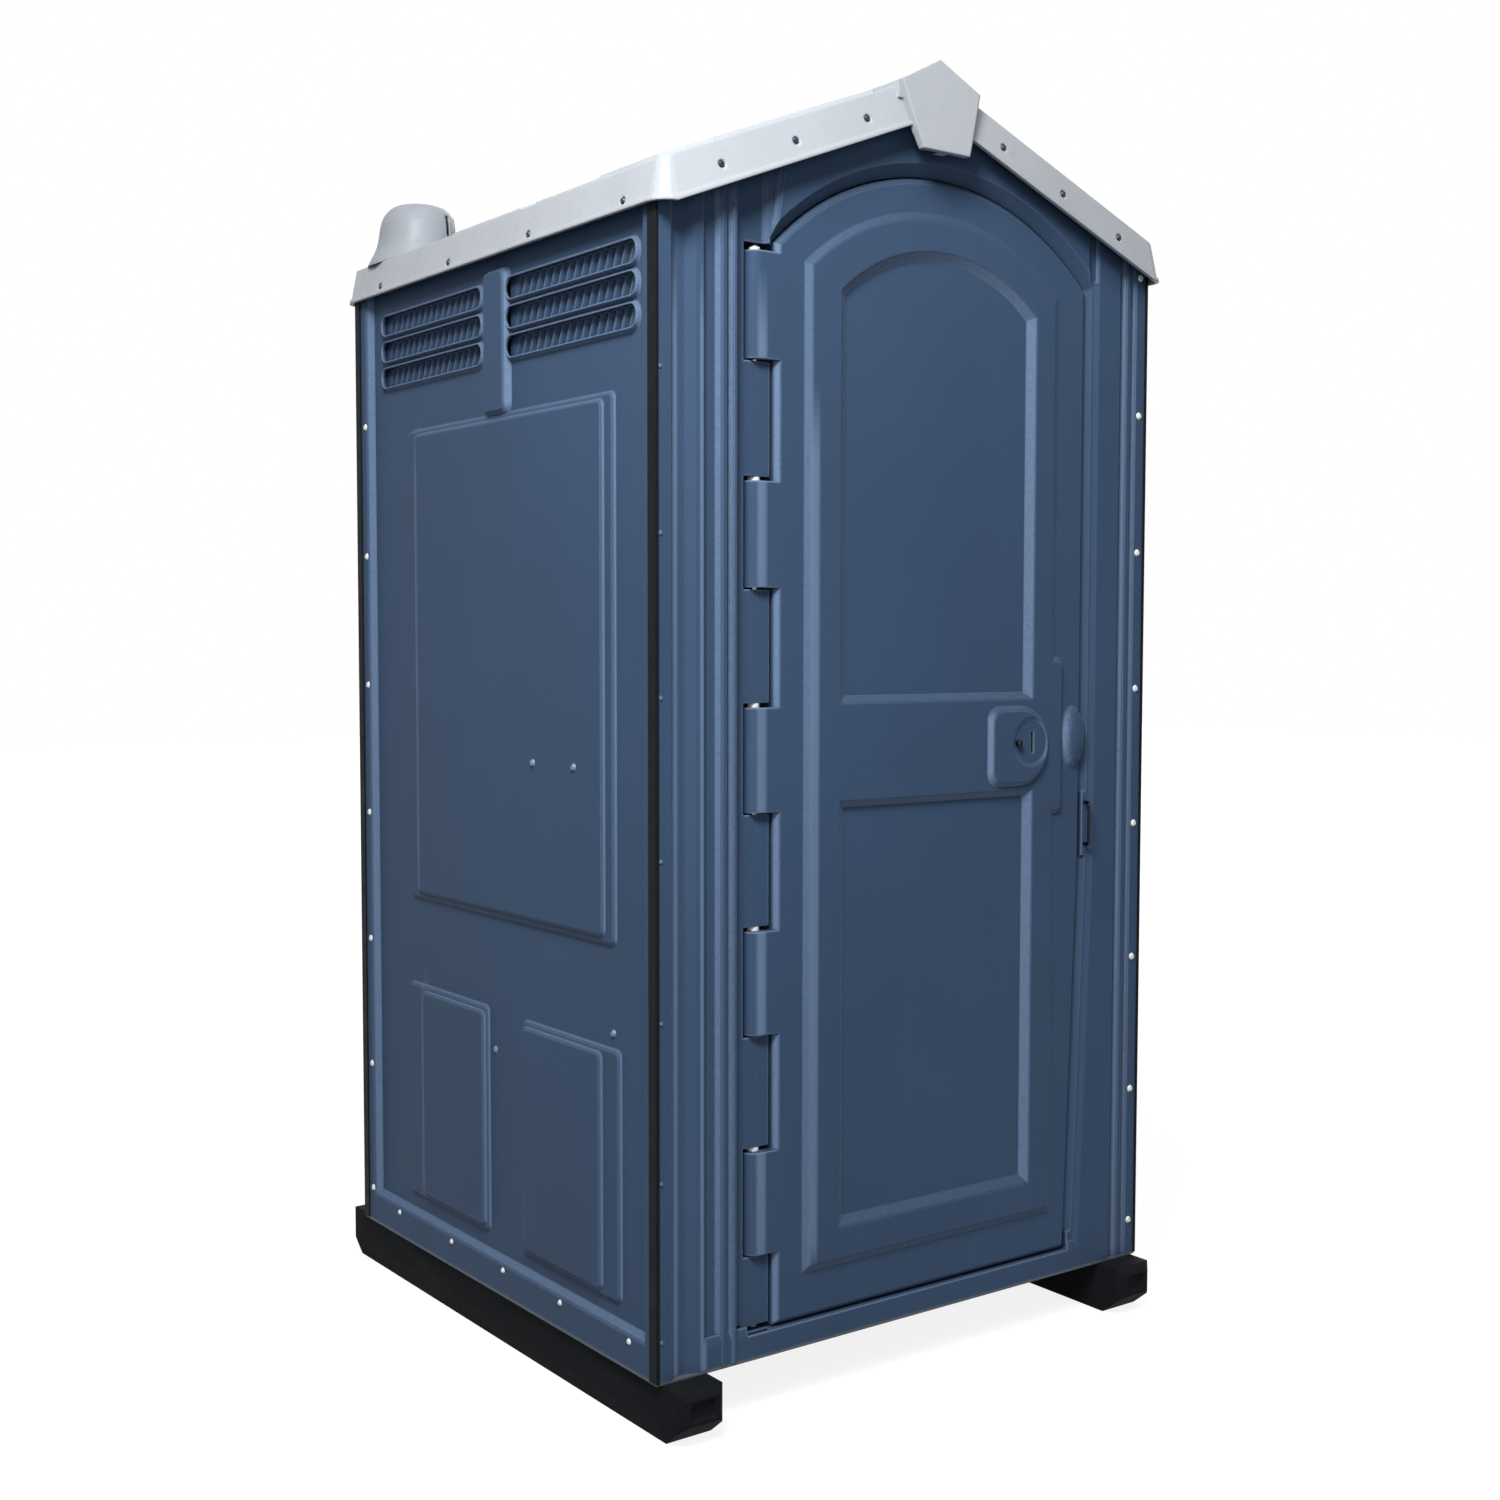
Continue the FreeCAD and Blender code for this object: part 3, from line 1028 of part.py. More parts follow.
def roof():
    outer = roof_block(0.0, FASCIA_H, 0.0)
    lip = roof_block(0.0, ROOF_LIP_H, ROOF_LIP)
    eave_lip = roof_block(0.0, 40.0, ROOF_LIP).common(eave_zone())
    wide, narrow = 19 - ROOF_HALF_W, 75 - ROOF_HALF_W
    fields = [slope_field(-570, -378, wide, -110, 7.0, 9.0), slope_field(-340, -70, narrow, -60, 7.0, 9.0),
              slope_field(-30, 250, narrow, -60, 7.0, 9.0)]
    fields += [mirrored(f) for f in fields]
    cavity = roof_block(-60.0, FASCIA_H - ROOF_T * RISE_PER_T, -ROOF_T)
    hollow = [cavity] + [moved(f, z=-ROOF_T * RISE_PER_T) for f in fields]
    half = TAB_HALF + 10
    crown = ROOF_RIDGE_Z + RIDGE_BOX_RISE - ROOF_T * RISE_PER_T - 2
    box_in = prism_y([(0, crown), (half, crown - 0.5 * half), (half, crown - 70), (-half, crown - 70),
                      (-half, crown - 0.5 * half)], ROOF_FRONT_Y + ROOF_T + 4, FRONT_Y + 67)
    shell = fused([outer, lip, eave_lip, ridge_box()] + fields)
    shell = shell.cut(fused(hollow)).cut(box_in)
    shell = shell.cut(box(-900, 900, -900, 900, 1500, ROOF_EAVE_Z))
    shell = shell.cut(rod_z(PIPE_R + 1.5, 1900, 2300, VENT_X, VENT_Y))
    holes = [rod_y(RIVET_SHANK_R + FIT, ROOF_FRONT_Y - 38, FRONT_Y + 7, s * x, z)
             for x, z in FASCIA_RIVETS for s in (-1, 1)]
    holes += [rod_x(RIVET_SHANK_R + FIT, -ROOF_HALF_W - 25, ROOF_HALF_W + 25, y, EAVE_RIVET_Z)
              for y in EAVE_RIVET_YS]
    dimples = [Part.makeCone(10.0, 6.4, 2 * DIMPLE, V(s * x, fascia_y(x, z) - DIMPLE, z), V(0, 1, 0))
               for x, z in FASCIA_RIVETS for s in (-1, 1)]
    dimples += [Part.makeCone(10.0, 6.4, 2 * DIMPLE, V(s * (eave_x(EAVE_RIVET_Z) + DIMPLE), y, EAVE_RIVET_Z),
                              V(-s, 0, 0)) for y in EAVE_RIVET_YS for s in (-1, 1)]
    return drill(drill(shell, holes), dimples).Solids[0]


def eave_zone():
    # a level band round the eaves, where the gable's own lip has been trimmed away
    side = (FASCIA_RIDGE_Z - ROOF_EAVE_Z) / ROOF_SLOPE - 12
    z0, z1 = ROOF_EAVE_Z, ROOF_EAVE_Z + ROOF_LIP_H
    return fused([box(-900, -side, -900, 900, z0, z1), box(side, 900, -900, 900, z0, z1)])


# Vent cowl and pipe
def vent_cowl():
    # cap that leans a little towards the ridge, hollow below
    sections = [(VENT_TOP_Z - 153, -2.0, -2.0), (VENT_TOP_Z - 81, 0.0, 0.0), (VENT_TOP_Z - 44, 3.5, 3.5),
                (VENT_TOP_Z - 17, 11.0, 7.0), (VENT_TOP_Z - 6, 20.0, 9.0), (VENT_TOP_Z, 36.0, 9.0)]

    def shape(t):
        rings = [Part.Wire([Part.makeCircle(VENT_R - t - inset, V(VENT_X + lean, VENT_Y, z - t))])
                 for z, inset, lean in sections]
        return Part.makeLoft(rings, True, False)

    cowl = shape(0.0).cut(shape(4.0))
    slope = [(-800, 1700), (-800, ROOF_RIDGE_Z - ROOF_SLOPE * 800 + FIT), (0, ROOF_RIDGE_Z + FIT), (0, 1700)]
    cowl = cowl.cut(prism_y(slope, 0, 800))
    slots = []
    for k in range(6):
        slot = box(50, 100, -6, 6, -62, -22)
        slot.rotate(V(0, 0, 0), V(0, 0, 1), 24 * k - 60)
        slot.translate(V(0, 0, VENT_TOP_Z))
        slots.append(moved(slot, VENT_X, VENT_Y, 0))
    return drill(cowl, slots).Solids[0]


def vent_pipe():
    z0, z1 = TANK_TOP_Z, VENT_TOP_Z - 46
    return rod_z(PIPE_R, z0, z1, VENT_X, VENT_Y).cut(rod_z(PIPE_R - PIPE_T, z0 - 1, z1 + 1, VENT_X, VENT_Y))


# Waste tank with its seat deck
BOWL = (-118.0, 118.0, 40.0, 300.0)
HINGE_AXIS_Z = 606.0


def tank_profile(t):
    z0 = FLOOR_Z + FIT + t
    return [(TANK_FRONT_Y + 30 + t, z0), (TANK_FRONT_Y + t, 330), (TANK_FRONT_Y - 22 + t, 540 - t),
            (TANK_FRONT_Y - 8 + t, TANK_TOP_Z - t), (TANK_REAR_Y - t, TANK_TOP_Z - t), (TANK_REAR_Y - t, z0)]


def tank():
    outer = prism_x(tank_profile(0.0), -TANK_HALF_W, TANK_HALF_W)
    ring = pad(on_level, (BOWL[0] - 60, BOWL[1] + 60, BOWL[2] - 50, BOWL[3] + 60), TANK_TOP_Z - 1,
               TANK_TOP_Z + 12, 12.0, 60.0)
    collar = rod_z(PIPE_R + 5 + FIT, TANK_TOP_Z - 1, TANK_TOP_Z + 40, VENT_X, VENT_Y)
    outer = fused([outer, ring, collar])
    inner = prism_x(tank_profile(TANK_WALL), -TANK_HALF_W + TANK_WALL, TANK_HALF_W - TANK_WALL)
    hole = Part.Face(round_rect(on_level, *BOWL, TANK_TOP_Z - 30, 100.0)).extrude(V(0, 0, 60))
    body = outer.cut(inner).cut(hole)
    body = body.cut(rod_z(PIPE_R + FIT, TANK_TOP_Z, TANK_TOP_Z + 50, VENT_X, VENT_Y))
    body = body.cut(rod_z(PIPE_R - PIPE_T, TANK_TOP_Z - 20, TANK_TOP_Z + 50, VENT_X, VENT_Y))
    holes = [rod_z(HOSE_R, TANK_TOP_Z - 20, TANK_TOP_Z + 20, HOSE_END[0], HOSE_END[1]),
             rod_x(RIVET_SHANK_R + FIT, -600, 600, *TANK_BOLT)]
    return drill(body, holes)


def oval(half_w, half_l, y_mid, z):
    # seat outline: round front, straighter sides, squarer back
    r = half_w
    front = y_mid - half_l + r
    back = y_mid + half_l
    c = 60.0
    s = c * (1 - math.sqrt(0.5))
    p = [V(-r, front, z), V(0, front - r, z), V(r, front, z), V(r - 12, back - c, z), V(r - 12 - s, back - s, z),
         V(r - 12 - c, back, z), V(-r + 12 + c, back, z), V(-r + 12 + s, back - s, z), V(-r + 12, back - c, z)]
    return Part.Wire([Part.Arc(p[0], p[1], p[2]).toShape(), Part.LineSegment(p[2], p[3]).toShape(),
                      Part.Arc(p[3], p[4], p[5]).toShape(), Part.LineSegment(p[5], p[6]).toShape(),
                      Part.Arc(p[6], p[7], p[8]).toShape(), Part.LineSegment(p[8], p[0]).toShape()])


def slab(half_w, half_l, y_mid, z0, z1, taper):
    return Part.makeLoft([oval(half_w, half_l, y_mid, z0), oval(half_w - taper, half_l - taper, y_mid, z1)],
                         True, True)


SEAT_Z = TANK_TOP_Z + 12 + 4
LUG_Z = SEAT_Z + SEAT_T


def hinge_pin_sides(inner, outer):
    return [(-outer, -inner), (inner, outer)]


def toilet_seat():
    ring = slab(SEAT_HALF_W, SEAT_HALF_L, SEAT_Y, SEAT_Z, SEAT_Z + SEAT_T, 7.0)
    hole = slab(SEAT_HALF_W - 68, SEAT_HALF_L - 82, SEAT_Y - 16, SEAT_Z - 1, SEAT_Z + SEAT_T + 1, -9.0)
    ring = ring.cut(hole)
    pads = [rod_z(9.0, TANK_TOP_Z + 12 + FIT, SEAT_Z + 1, x, y) for x in (-140, 140) for y in (60, 290)]
    ears = []
    for x0, x1 in hinge_pin_sides(84.0, 96.0):
        arm = box(x0, x1, SEAT_Y + SEAT_HALF_L - 30, SEAT_HINGE_Y, SEAT_Z + 2, SEAT_Z + SEAT_T - 4)
        eye = rod_x(10.0, x0, x1, SEAT_HINGE_Y, HINGE_AXIS_Z)
        web = box(x0, x1, SEAT_HINGE_Y - 10, SEAT_HINGE_Y + 10, SEAT_Z + 2, HINGE_AXIS_Z)
        ears.append(fused([arm, eye, web]))
    seat = fused([ring] + pads + ears)
    return seat.cut(rod_x(PIN_R + RUN, -100, 100, SEAT_HINGE_Y, HINGE_AXIS_Z))


PIN_R = 4.0


def toilet_lid():
    z0 = SEAT_Z + SEAT_T + 3.0
    cover = slab(SEAT_HALF_W, SEAT_HALF_L, SEAT_Y, z0, z0 + LID_T, 9.0)
    cover = cover.cut(slab(SEAT_HALF_W - 14, SEAT_HALF_L - 14, SEAT_Y, z0 - 1, z0 + LID_T - 5, 4.0))
    pads = [rod_z(7.0, SEAT_Z + SEAT_T + FIT, z0 + LID_T - 3, x, y) for x in (-140, 140) for y in (90, 320)]
    ears = []
    for x0, x1 in hinge_pin_sides(44.0, 56.0):
        arm = box(x0, x1, SEAT_Y + SEAT_HALF_L - 30, SEAT_HINGE_Y + 8, z0 + 2, z0 + 12)
        eye = rod_x(9.0, x0, x1, SEAT_HINGE_Y, HINGE_AXIS_Z)
        ears.append(fused([arm, eye]))
    lid = fused([cover] + pads + ears)
    return lid.cut(rod_x(PIN_R + RUN, -100, 100, SEAT_HINGE_Y, HINGE_AXIS_Z))


def seat_hinge():
    posts = []
    for x0, x1 in hinge_pin_sides(62.0, 78.0):
        foot = box(x0 - 4, x1 + 4, SEAT_HINGE_Y - 18, SEAT_HINGE_Y + 18, TANK_TOP_Z, TANK_TOP_Z + 8)
        post = box(x0, x1, SEAT_HINGE_Y - 9, SEAT_HINGE_Y + 9, TANK_TOP_Z, HINGE_AXIS_Z)
        top = rod_x(9.0, x0, x1, SEAT_HINGE_Y, HINGE_AXIS_Z)
        inner = 40.0
        pin_x0, pin_x1 = (x0 - 22, -inner) if x0 < 0 else (inner, x1 + 22)
        pin = rod_x(PIN_R, pin_x0, pin_x1, SEAT_HINGE_Y, HINGE_AXIS_Z)
        posts.append(fused([foot, post, top, pin]))
    return Part.makeCompound(posts)


# Urinal: a moulded bowl hung on the left wall, with its hose to the tank
HOSE_R = 16.0
URINAL_T = 6.0
BRACKET_T = 4.0
HOSE_END = (VENT_X, 40.0)


def urinal():
    x_back = -FIELD_X - 2 * PANEL_RISE + SHEET + FIT
    y0, y1 = URINAL_Y - URINAL_W / 2, URINAL_Y + URINAL_W / 2
    z1 = URINAL_TOP_Z
    z0 = z1 - URINAL_H

    def shell(t):
        rings = [round_rect(on_side, y0 + side + t, y1 - side - t, z0 + low + t, z1 - high - 2.2 * t, x_back + out, r - t)
                 for out, side, low, high, r in ((t, 0, 0, 0, 45.0), (90.0, 10, 0, 90, 45.0),
                                                 (URINAL_D - t, 50, 70, 150, 30.0))]
        return fused([Part.makeLoft(rings[k:k + 2], True, True) for k in (0, 1)])

    body = shell(0.0).cut(shell(URINAL_T))
    mouth = prism_y([(x_back + 14, z1 + 10), (x_back + 14, z1 - 120), (x_back + URINAL_D + 20, z1 - 210),
                     (x_back + URINAL_D + 20, z1 + 10)], y0 + 12, y1 - 12)
    spout = rod_z(HOSE_R + 4, z0 - 24, z0 + 16, x_back + 55, URINAL_Y)
    bore = rod_z(HOSE_R - 3, z0 - 26, z0 + 60, x_back + 55, URINAL_Y)
    holes = [rod_x(RIVET_SHANK_R + FIT, -620, x_back + 20, y, z) for y, z in URINAL_BOLTS]
    body = drill(fused([body.cut(mouth), spout]), holes + [bore])
    return body.Solids[0], x_back + 55, z0 - 24


def tube(points, radius, wall):
    # straight runs joined by tangent arcs
    edges = []
    last = points[0]
    for a, b, c in zip(points, points[1:], points[2:]):
        u = (a - b).normalize()
        v = (c - b).normalize()
        turn = math.pi - u.getAngle(v)
        first = 0.92 if a is points[0] else 0.48
        second = 0.92 if c is points[-1] else 0.48
        r = min(first * (a - b).Length, second * (c - b).Length) / math.tan(turn / 2)
        back = r * math.tan(turn / 2)
        start, end = b + u * back, b + v * back
        middle = b + (u + v).normalize() * (r / math.cos(turn / 2) - r)
        print("hose arc radius", round(r, 1))
        edges.append(Part.LineSegment(last, start).toShape())
        edges.append(Part.Arc(start, middle, end).toShape())
        last = end
    edges.append(Part.LineSegment(last, points[-1]).toShape())
    path = Part.Wire(edges)
    axis = (points[1] - points[0]).normalize()
    solids = []
    for r in (radius, radius - wall):
        ring = Part.Wire([Part.makeCircle(r, points[0], axis)])
        solids.append(path.makePipeShell([ring], True, False))
    return solids[0].cut(solids[1])


def urinal_hose(x, z):
    points = [V(x, URINAL_Y, z - FIT), V(x, URINAL_Y, z - 88), V(HOSE_END[0], HOSE_END[1], z - 130),
              V(HOSE_END[0], HOSE_END[1], TANK_TOP_Z - 8)]
    return tube(points, HOSE_R - FIT, 2.5)


URINAL_BOLTS = ((-172.0, 1078.0), (-311.0, 1078.0))
TANK_BOLT = (-8.0, 540.0)
HOOK_BOLT = (-417.0, 640.0)
PAPER_BOLTS = tuple((ROLL_Y + dy, ROLL_Z + dz) for dy in (-95.0, 95.0) for dz in (-50.0, 50.0))
LEFT_BOLTS = URINAL_BOLTS + (TANK_BOLT, HOOK_BOLT)
RIGHT_BOLTS = PAPER_BOLTS + (TANK_BOLT,)


def nutted(side, x, y, z, grip):
    # bolt with a domed head outside and a hexagon nut inside
    s = -1 if side == "left" else 1
    bolt = domed(side, x, y, z, RIVET_R, RIVET_RISE + 1, RIVET_SHANK_R, grip + 6)
    ring = [V(x - s * grip, y + 5.5 * math.cos(math.radians(60 * k)), z + 5.5 * math.sin(math.radians(60 * k)))
            for k in range(6)]
    return fused([bolt, face(ring).extrude(V(-s * 4.0, 0, 0))])


def fixture_bolts():
    panel = FIELD_X + 2 * PANEL_RISE
    bolts = [nutted("left", -panel, y, z, SHEET + URINAL_T + 2 * FIT) for y, z in URINAL_BOLTS]
    bolts += [nutted("left", -FIELD_X, *HOOK_BOLT, SHEET + FIT)]
    bolts += [nutted("right", FIELD_X, y, z, SHEET + BRACKET_T + 2 * FIT) for y, z in PAPER_BOLTS]
    bolts += [domed(side, s * FIELD_X, *TANK_BOLT, RIVET_R, RIVET_RISE, RIVET_SHANK_R, FIELD_X - TANK_HALF_W + TANK_WALL)
              for s, side in ((-1, "left"), (1, "right"))]
    return Part.makeCompound(bolts)


# Paper holder on the right wall with two rolls side by side
def paper_bracket():
    x_wall = FIELD_X - SHEET - FIT
    half = ROLL_W + 12
    plate = box(x_wall - BRACKET_T, x_wall, ROLL_Y - half, ROLL_Y + half, ROLL_Z - 70, ROLL_Z + 70)
    reach = x_wall - ROLL_R - 24
    ears = []
    for y in (ROLL_Y - half, ROLL_Y + half - 4):
        ear = box(reach - 16, x_wall - 1, y, y + 4, ROLL_Z - 28, ROLL_Z + 28)
        ears.append(ear)
    holes = [rod_x(RIVET_SHANK_R + FIT, x_wall - 20, x_wall + 1, y, z) for y, z in PAPER_BOLTS]
    return drill(fused([plate] + ears), holes), reach


def paper_spindle(x):
    half = ROLL_W + 8
    rod = rod_y(6.0, ROLL_Y - half + FIT, ROLL_Y + half - FIT, x, ROLL_Z)
    drums = [rod_y(ROLL_CORE_R - RUN, ROLL_Y + s * (ROLL_W / 2 + 3) - ROLL_W / 2 + 4,
                   ROLL_Y + s * (ROLL_W / 2 + 3) + ROLL_W / 2 - 4, x, ROLL_Z) for s in (-1, 1)]
    return fused([rod] + drums)


def paper_roll(x, side):
    mid = ROLL_Y + side * (ROLL_W / 2 + 3)
    roll = rod_y(ROLL_R, mid - ROLL_W / 2, mid + ROLL_W / 2, x, ROLL_Z)
    return roll.cut(rod_y(ROLL_CORE_R, mid - ROLL_W, mid + ROLL_W, x, ROLL_Z))


def main():
    os.makedirs("parts", exist_ok=True)
    save("skid_left", skid(-SKID_X))
    save("skid_right", skid(SKID_X))
    save("skid_bolts", skid_bolts())
    save("base_floor", base_floor())
    save("left_wall", side_wall(LEFT_BOLTS, LEFT_CORNER_X))
    save("right_wall", mirrored(side_wall(RIGHT_BOLTS, CORNER_X)))
    save("rear_wall", rear_wall())
    screen = vent_screen()
    save("vent_screen_left", screen)
    save("vent_screen_right", mirrored(screen))
    save("front_frame", front_frame())
    for name, left, front in (("front_left", True, True), ("front_right", False, True),
                              ("rear_left", True, False), ("rear_right", False, False)):
        save("corner_trim_" + name, corner_trim(left, front))
    save("corner_rivets", corner_rivets())
    save("jamb_rivets", jamb_rivets())
    save("base_screws", base_screws())
    save("roof", roof())
    save("roof_rivets", roof_rivets())
    save("vent_cowl", vent_cowl())
    save("vent_pipe", vent_pipe())
    save("hinge_rod", hinge_rod())
    save("hinge_bushes", hinge_bushes())
    save("closer_spring", closer_spring())
    save("door_outer_skin", door_outer_skin())
    save("door_inner_skin", door_inner_skin())
    save("lock_spindle", lock_spindle())
    save("indicator_disc", indicator_disc())
    save("latch_lever", latch_lever())
    save("latch_bolt", latch_bolt())
    save("latch_case", latch_case())
    save("latch_keeper", latch_keeper())
    save("padlock_staple", staple())
    save("coat_hook", coat_hook())
    save("tank", tank())
    save("seat_hinge", seat_hinge())
    save("toilet_seat", toilet_seat())
    save("toilet_lid", toilet_lid())
    bowl, hose_x, hose_z = urinal()
    save("urinal", bowl)
    save("urinal_hose", urinal_hose(hose_x, hose_z))
    save("fixture_bolts", fixture_bolts())
    bracket, roll_x = paper_bracket()
    save("paper_bracket", bracket)
    save("paper_spindle", paper_spindle(roll_x))
    save("paper_roll_front", paper_roll(roll_x, -1))
    save("paper_roll_rear", paper_roll(roll_x, 1))


main()
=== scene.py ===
# %% [markdown]
# # A portable toilet cabin
#
# The cabin comes as a set of solid pieces that already have their true sizes and places. This lesson
# dresses them: it gives every piece the finish of the real thing, adds the small things that a
# moulder, a fitter and the weather leave behind, and sets up a plain studio. The first cell loads the
# pieces.

import math
import random

import bmesh
import bpy
from mathutils import Matrix, Vector


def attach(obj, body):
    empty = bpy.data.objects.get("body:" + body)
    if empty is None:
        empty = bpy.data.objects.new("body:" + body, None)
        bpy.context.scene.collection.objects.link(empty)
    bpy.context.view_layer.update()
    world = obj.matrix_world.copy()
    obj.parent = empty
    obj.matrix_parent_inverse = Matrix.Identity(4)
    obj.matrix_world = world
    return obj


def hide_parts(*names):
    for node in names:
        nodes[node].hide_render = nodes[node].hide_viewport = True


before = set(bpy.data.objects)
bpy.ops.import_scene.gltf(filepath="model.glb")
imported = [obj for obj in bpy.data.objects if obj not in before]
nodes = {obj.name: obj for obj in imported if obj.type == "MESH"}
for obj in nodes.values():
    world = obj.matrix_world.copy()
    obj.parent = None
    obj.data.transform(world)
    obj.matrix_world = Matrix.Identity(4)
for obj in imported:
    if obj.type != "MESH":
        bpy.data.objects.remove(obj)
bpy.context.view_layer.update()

# %% [markdown]
# ## How a finish is made
#
# Moulded polyethylene is never one flat colour. The pigment is a little uneven, the mould leaves a
# fine grain, and years outdoors chalk the high places and leave dust low down. Each finish below is a
# chain of shader nodes: noise for the pigment, a second finer noise for the grain in the bump, and a
# bevel node that rounds the light on sharp edges the way a warm sheet rounds over its mould. A small
# helper keeps those chains short to write.


# %% A helper for node chains
class Finish:
    """A material and its node tree, with short calls to add and join nodes."""

    def __init__(self, name, colour, roughness, specular=0.5, metallic=0.0):
        self.material = bpy.data.materials.new(name)
        self.material.use_nodes = True
        self.tree = self.material.node_tree
        self.shader = self.tree.nodes["Principled BSDF"]
        self.shader.inputs["Base Color"].default_value = (*colour, 1.0)
        self.shader.inputs["Roughness"].default_value = roughness
        self.shader.inputs["Specular IOR Level"].default_value = specular
        self.shader.inputs["Metallic"].default_value = metallic
        self.place = self.tree.nodes.new("ShaderNodeTexCoord").outputs["Object"]

    def node(self, kind, **values):
        node = self.tree.nodes.new("ShaderNode" + kind)
        for key, value in values.items():
            if hasattr(node, key):
                setattr(node, key, value)
            else:
                node.inputs[key.replace("_", " ").title()].default_value = value
        return node

    def join(self, source, target):
        self.tree.links.new(source, target)

    def noise(self, scale, detail=4.0, rough=0.55, stretch=(1.0, 1.0, 1.0)):
        """Noise in the object's own metres, stretched along an axis where asked."""
        mapping = self.node("Mapping")
        mapping.inputs["Scale"].default_value = stretch
        self.join(self.place, mapping.inputs["Vector"])
        noise = self.node("TexNoise", scale=scale, detail=detail, roughness=rough)
        self.join(mapping.outputs["Vector"], noise.inputs["Vector"])
        return noise.outputs["Fac"]

    def ramp(self, source, low, high, dark=0.0, light=1.0):
        """A value stretched so that low becomes dark and high becomes light."""
        node = self.node("MapRange")
        for name, value in (("From Min", low), ("From Max", high), ("To Min", dark), ("To Max", light)):
            node.inputs[name].default_value = value
        self.join(source, node.inputs["Value"])
        return node.outputs["Result"]

    def mix(self, factor, first, second):
        """Two colours mixed by a factor; each may be a colour or a socket."""
        node = self.node("Mix", data_type="RGBA")
        factor_in, first_in, second_in = node.inputs[0], node.inputs[6], node.inputs[7]
        for value, socket in ((factor, factor_in), (first, first_in), (second, second_in)):
            if isinstance(value, bpy.types.NodeSocket):
                self.join(value, socket)
            elif isinstance(value, tuple):
                socket.default_value = (*value, 1.0)
            else:
                socket.default_value = value
        return node.outputs[2]

    def height(self, low, high, dark=1.0, light=0.0):
        """A value that goes from dark at the low height above the ground to light at the high one."""
        split = self.node("SeparateXYZ")
        self.join(self.place, split.inputs[0])
        return self.ramp(split.outputs["Z"], low, high, dark, light)

    def ridge(self, axis, place, width, foot, top):
        """One along an upright line at this place on the axis, fading at its sides, foot and top."""
        split = self.node("SeparateXYZ")
        self.join(self.place, split.inputs[0])
        away = self.node("Math", operation="SUBTRACT")
        self.join(split.outputs[axis], away.inputs[0])
        away.inputs[1].default_value = place
        size = self.node("Math", operation="ABSOLUTE")
        self.join(away.outputs[0], size.inputs[0])
        line = self.ramp(size.outputs[0], width * 0.4, width, 0.95, 0.0)
        span = self.times(self.height(top - 0.12, top), self.height(foot, foot + 0.05, 0.0, 1.0))
        return self.times(line, span)

    def ledges(self):
        """Zero on a wall and one on a slope that faces up."""
        split = self.node("SeparateXYZ")
        self.join(self.node("NewGeometry").outputs["Normal"], split.inputs[0])
        return self.ramp(split.outputs["Z"], 0.12, 0.55)

    def times(self, first, second):
        node = self.node("Math", operation="MULTIPLY")
        for value, socket in ((first, node.inputs[0]), (second, node.inputs[1])):
            if isinstance(value, bpy.types.NodeSocket):
                self.join(value, socket)
            else:
                socket.default_value = value
        return node.outputs[0]

    def bump(self, source, distance, strength, edge):
        """Grain in the normal, over an edge rounded by the given radius in metres."""
        bump = self.node("Bump")
        bump.inputs["Distance"].default_value = distance
        bump.inputs["Strength"].default_value = strength
        self.join(source, bump.inputs["Height"])
        bevel = self.node("Bevel", samples=6)
        bevel.inputs["Radius"].default_value = edge
        self.join(bevel.outputs["Normal"], bump.inputs["Normal"])
        self.join(bump.outputs["Normal"], self.shader.inputs["Normal"])

    def hollows(self, reach, low, high, inside=False):
        """Zero in the open and one deep in a corner; inside the sheet, one on a proud edge."""
        hollow = self.node("AmbientOcclusion", samples=8, inside=inside)
        hollow.inputs["Distance"].default_value = reach
        return self.ramp(hollow.outputs["AO"], low, high)

    def colour(self, socket):
        self.join(socket, self.shader.inputs["Base Color"])

    def roughness(self, socket):
        self.join(socket, self.shader.inputs["Roughness"])


def srgb(red, green, blue):
    """A colour as seen on screen, 0 to 255, as the linear values that a shader takes."""
    def linear(value):
        value /= 255.0
        return value / 12.92 if value <= 0.04045 else ((value + 0.055) / 1.055) ** 2.4
    return linear(red), linear(green), linear(blue)


def lighter(colour, amount):
    return tuple(min(1.0, channel * amount) for channel in colour)


print("the helper is ready")

# %% [markdown]
# ## The moulded body
#
# The walls, frame and door are vacuum-formed in slate blue. Seen close, the sheet has a fine pebble
# from the mould; seen from far, broad soft patches where it cooled unevenly, with chalky streaks that
# follow the rain. The grain is bump only. The patches and streaks change the colour by a few parts in
# a hundred, and dust gathers along the foot of each wall. Proud edges are paler: partly rubbed, partly
# a painted highlight. Deep corners get painted shade, and so does every slope that faces up.
#
# The side walls, the frame and the door also carry a few pale upright lines. They stand in for light
# that the photograph shows on flutes, knuckles and bevels where the solids catch less of it. Each line
# has an axis, a place on it, a width, a foot, a top and a strength. It is colour, not shape.

# %% The body's finish
BODY = srgb(63, 83, 110)
# Pale colour of rubbed edges and of painted highlights.
RUBBED_AND_HIGHLIGHT = srgb(116, 137, 166)
DUST = srgb(112, 116, 120)
CHALK = 1.14
DUST_AMOUNT = 0.03
SHEET_ROUGHNESS = 0.40
SHEET_EDGE = 0.0055
PEBBLE_DEPTH = 0.00022
# Reach of the proud edges that are rubbed paler and carry a painted highlight.
RUBBED_HIGHLIGHT_REACH = 0.0038
# Reach of the painted shade in deep corners.
CORNER_SHADE_REACH = 0.03
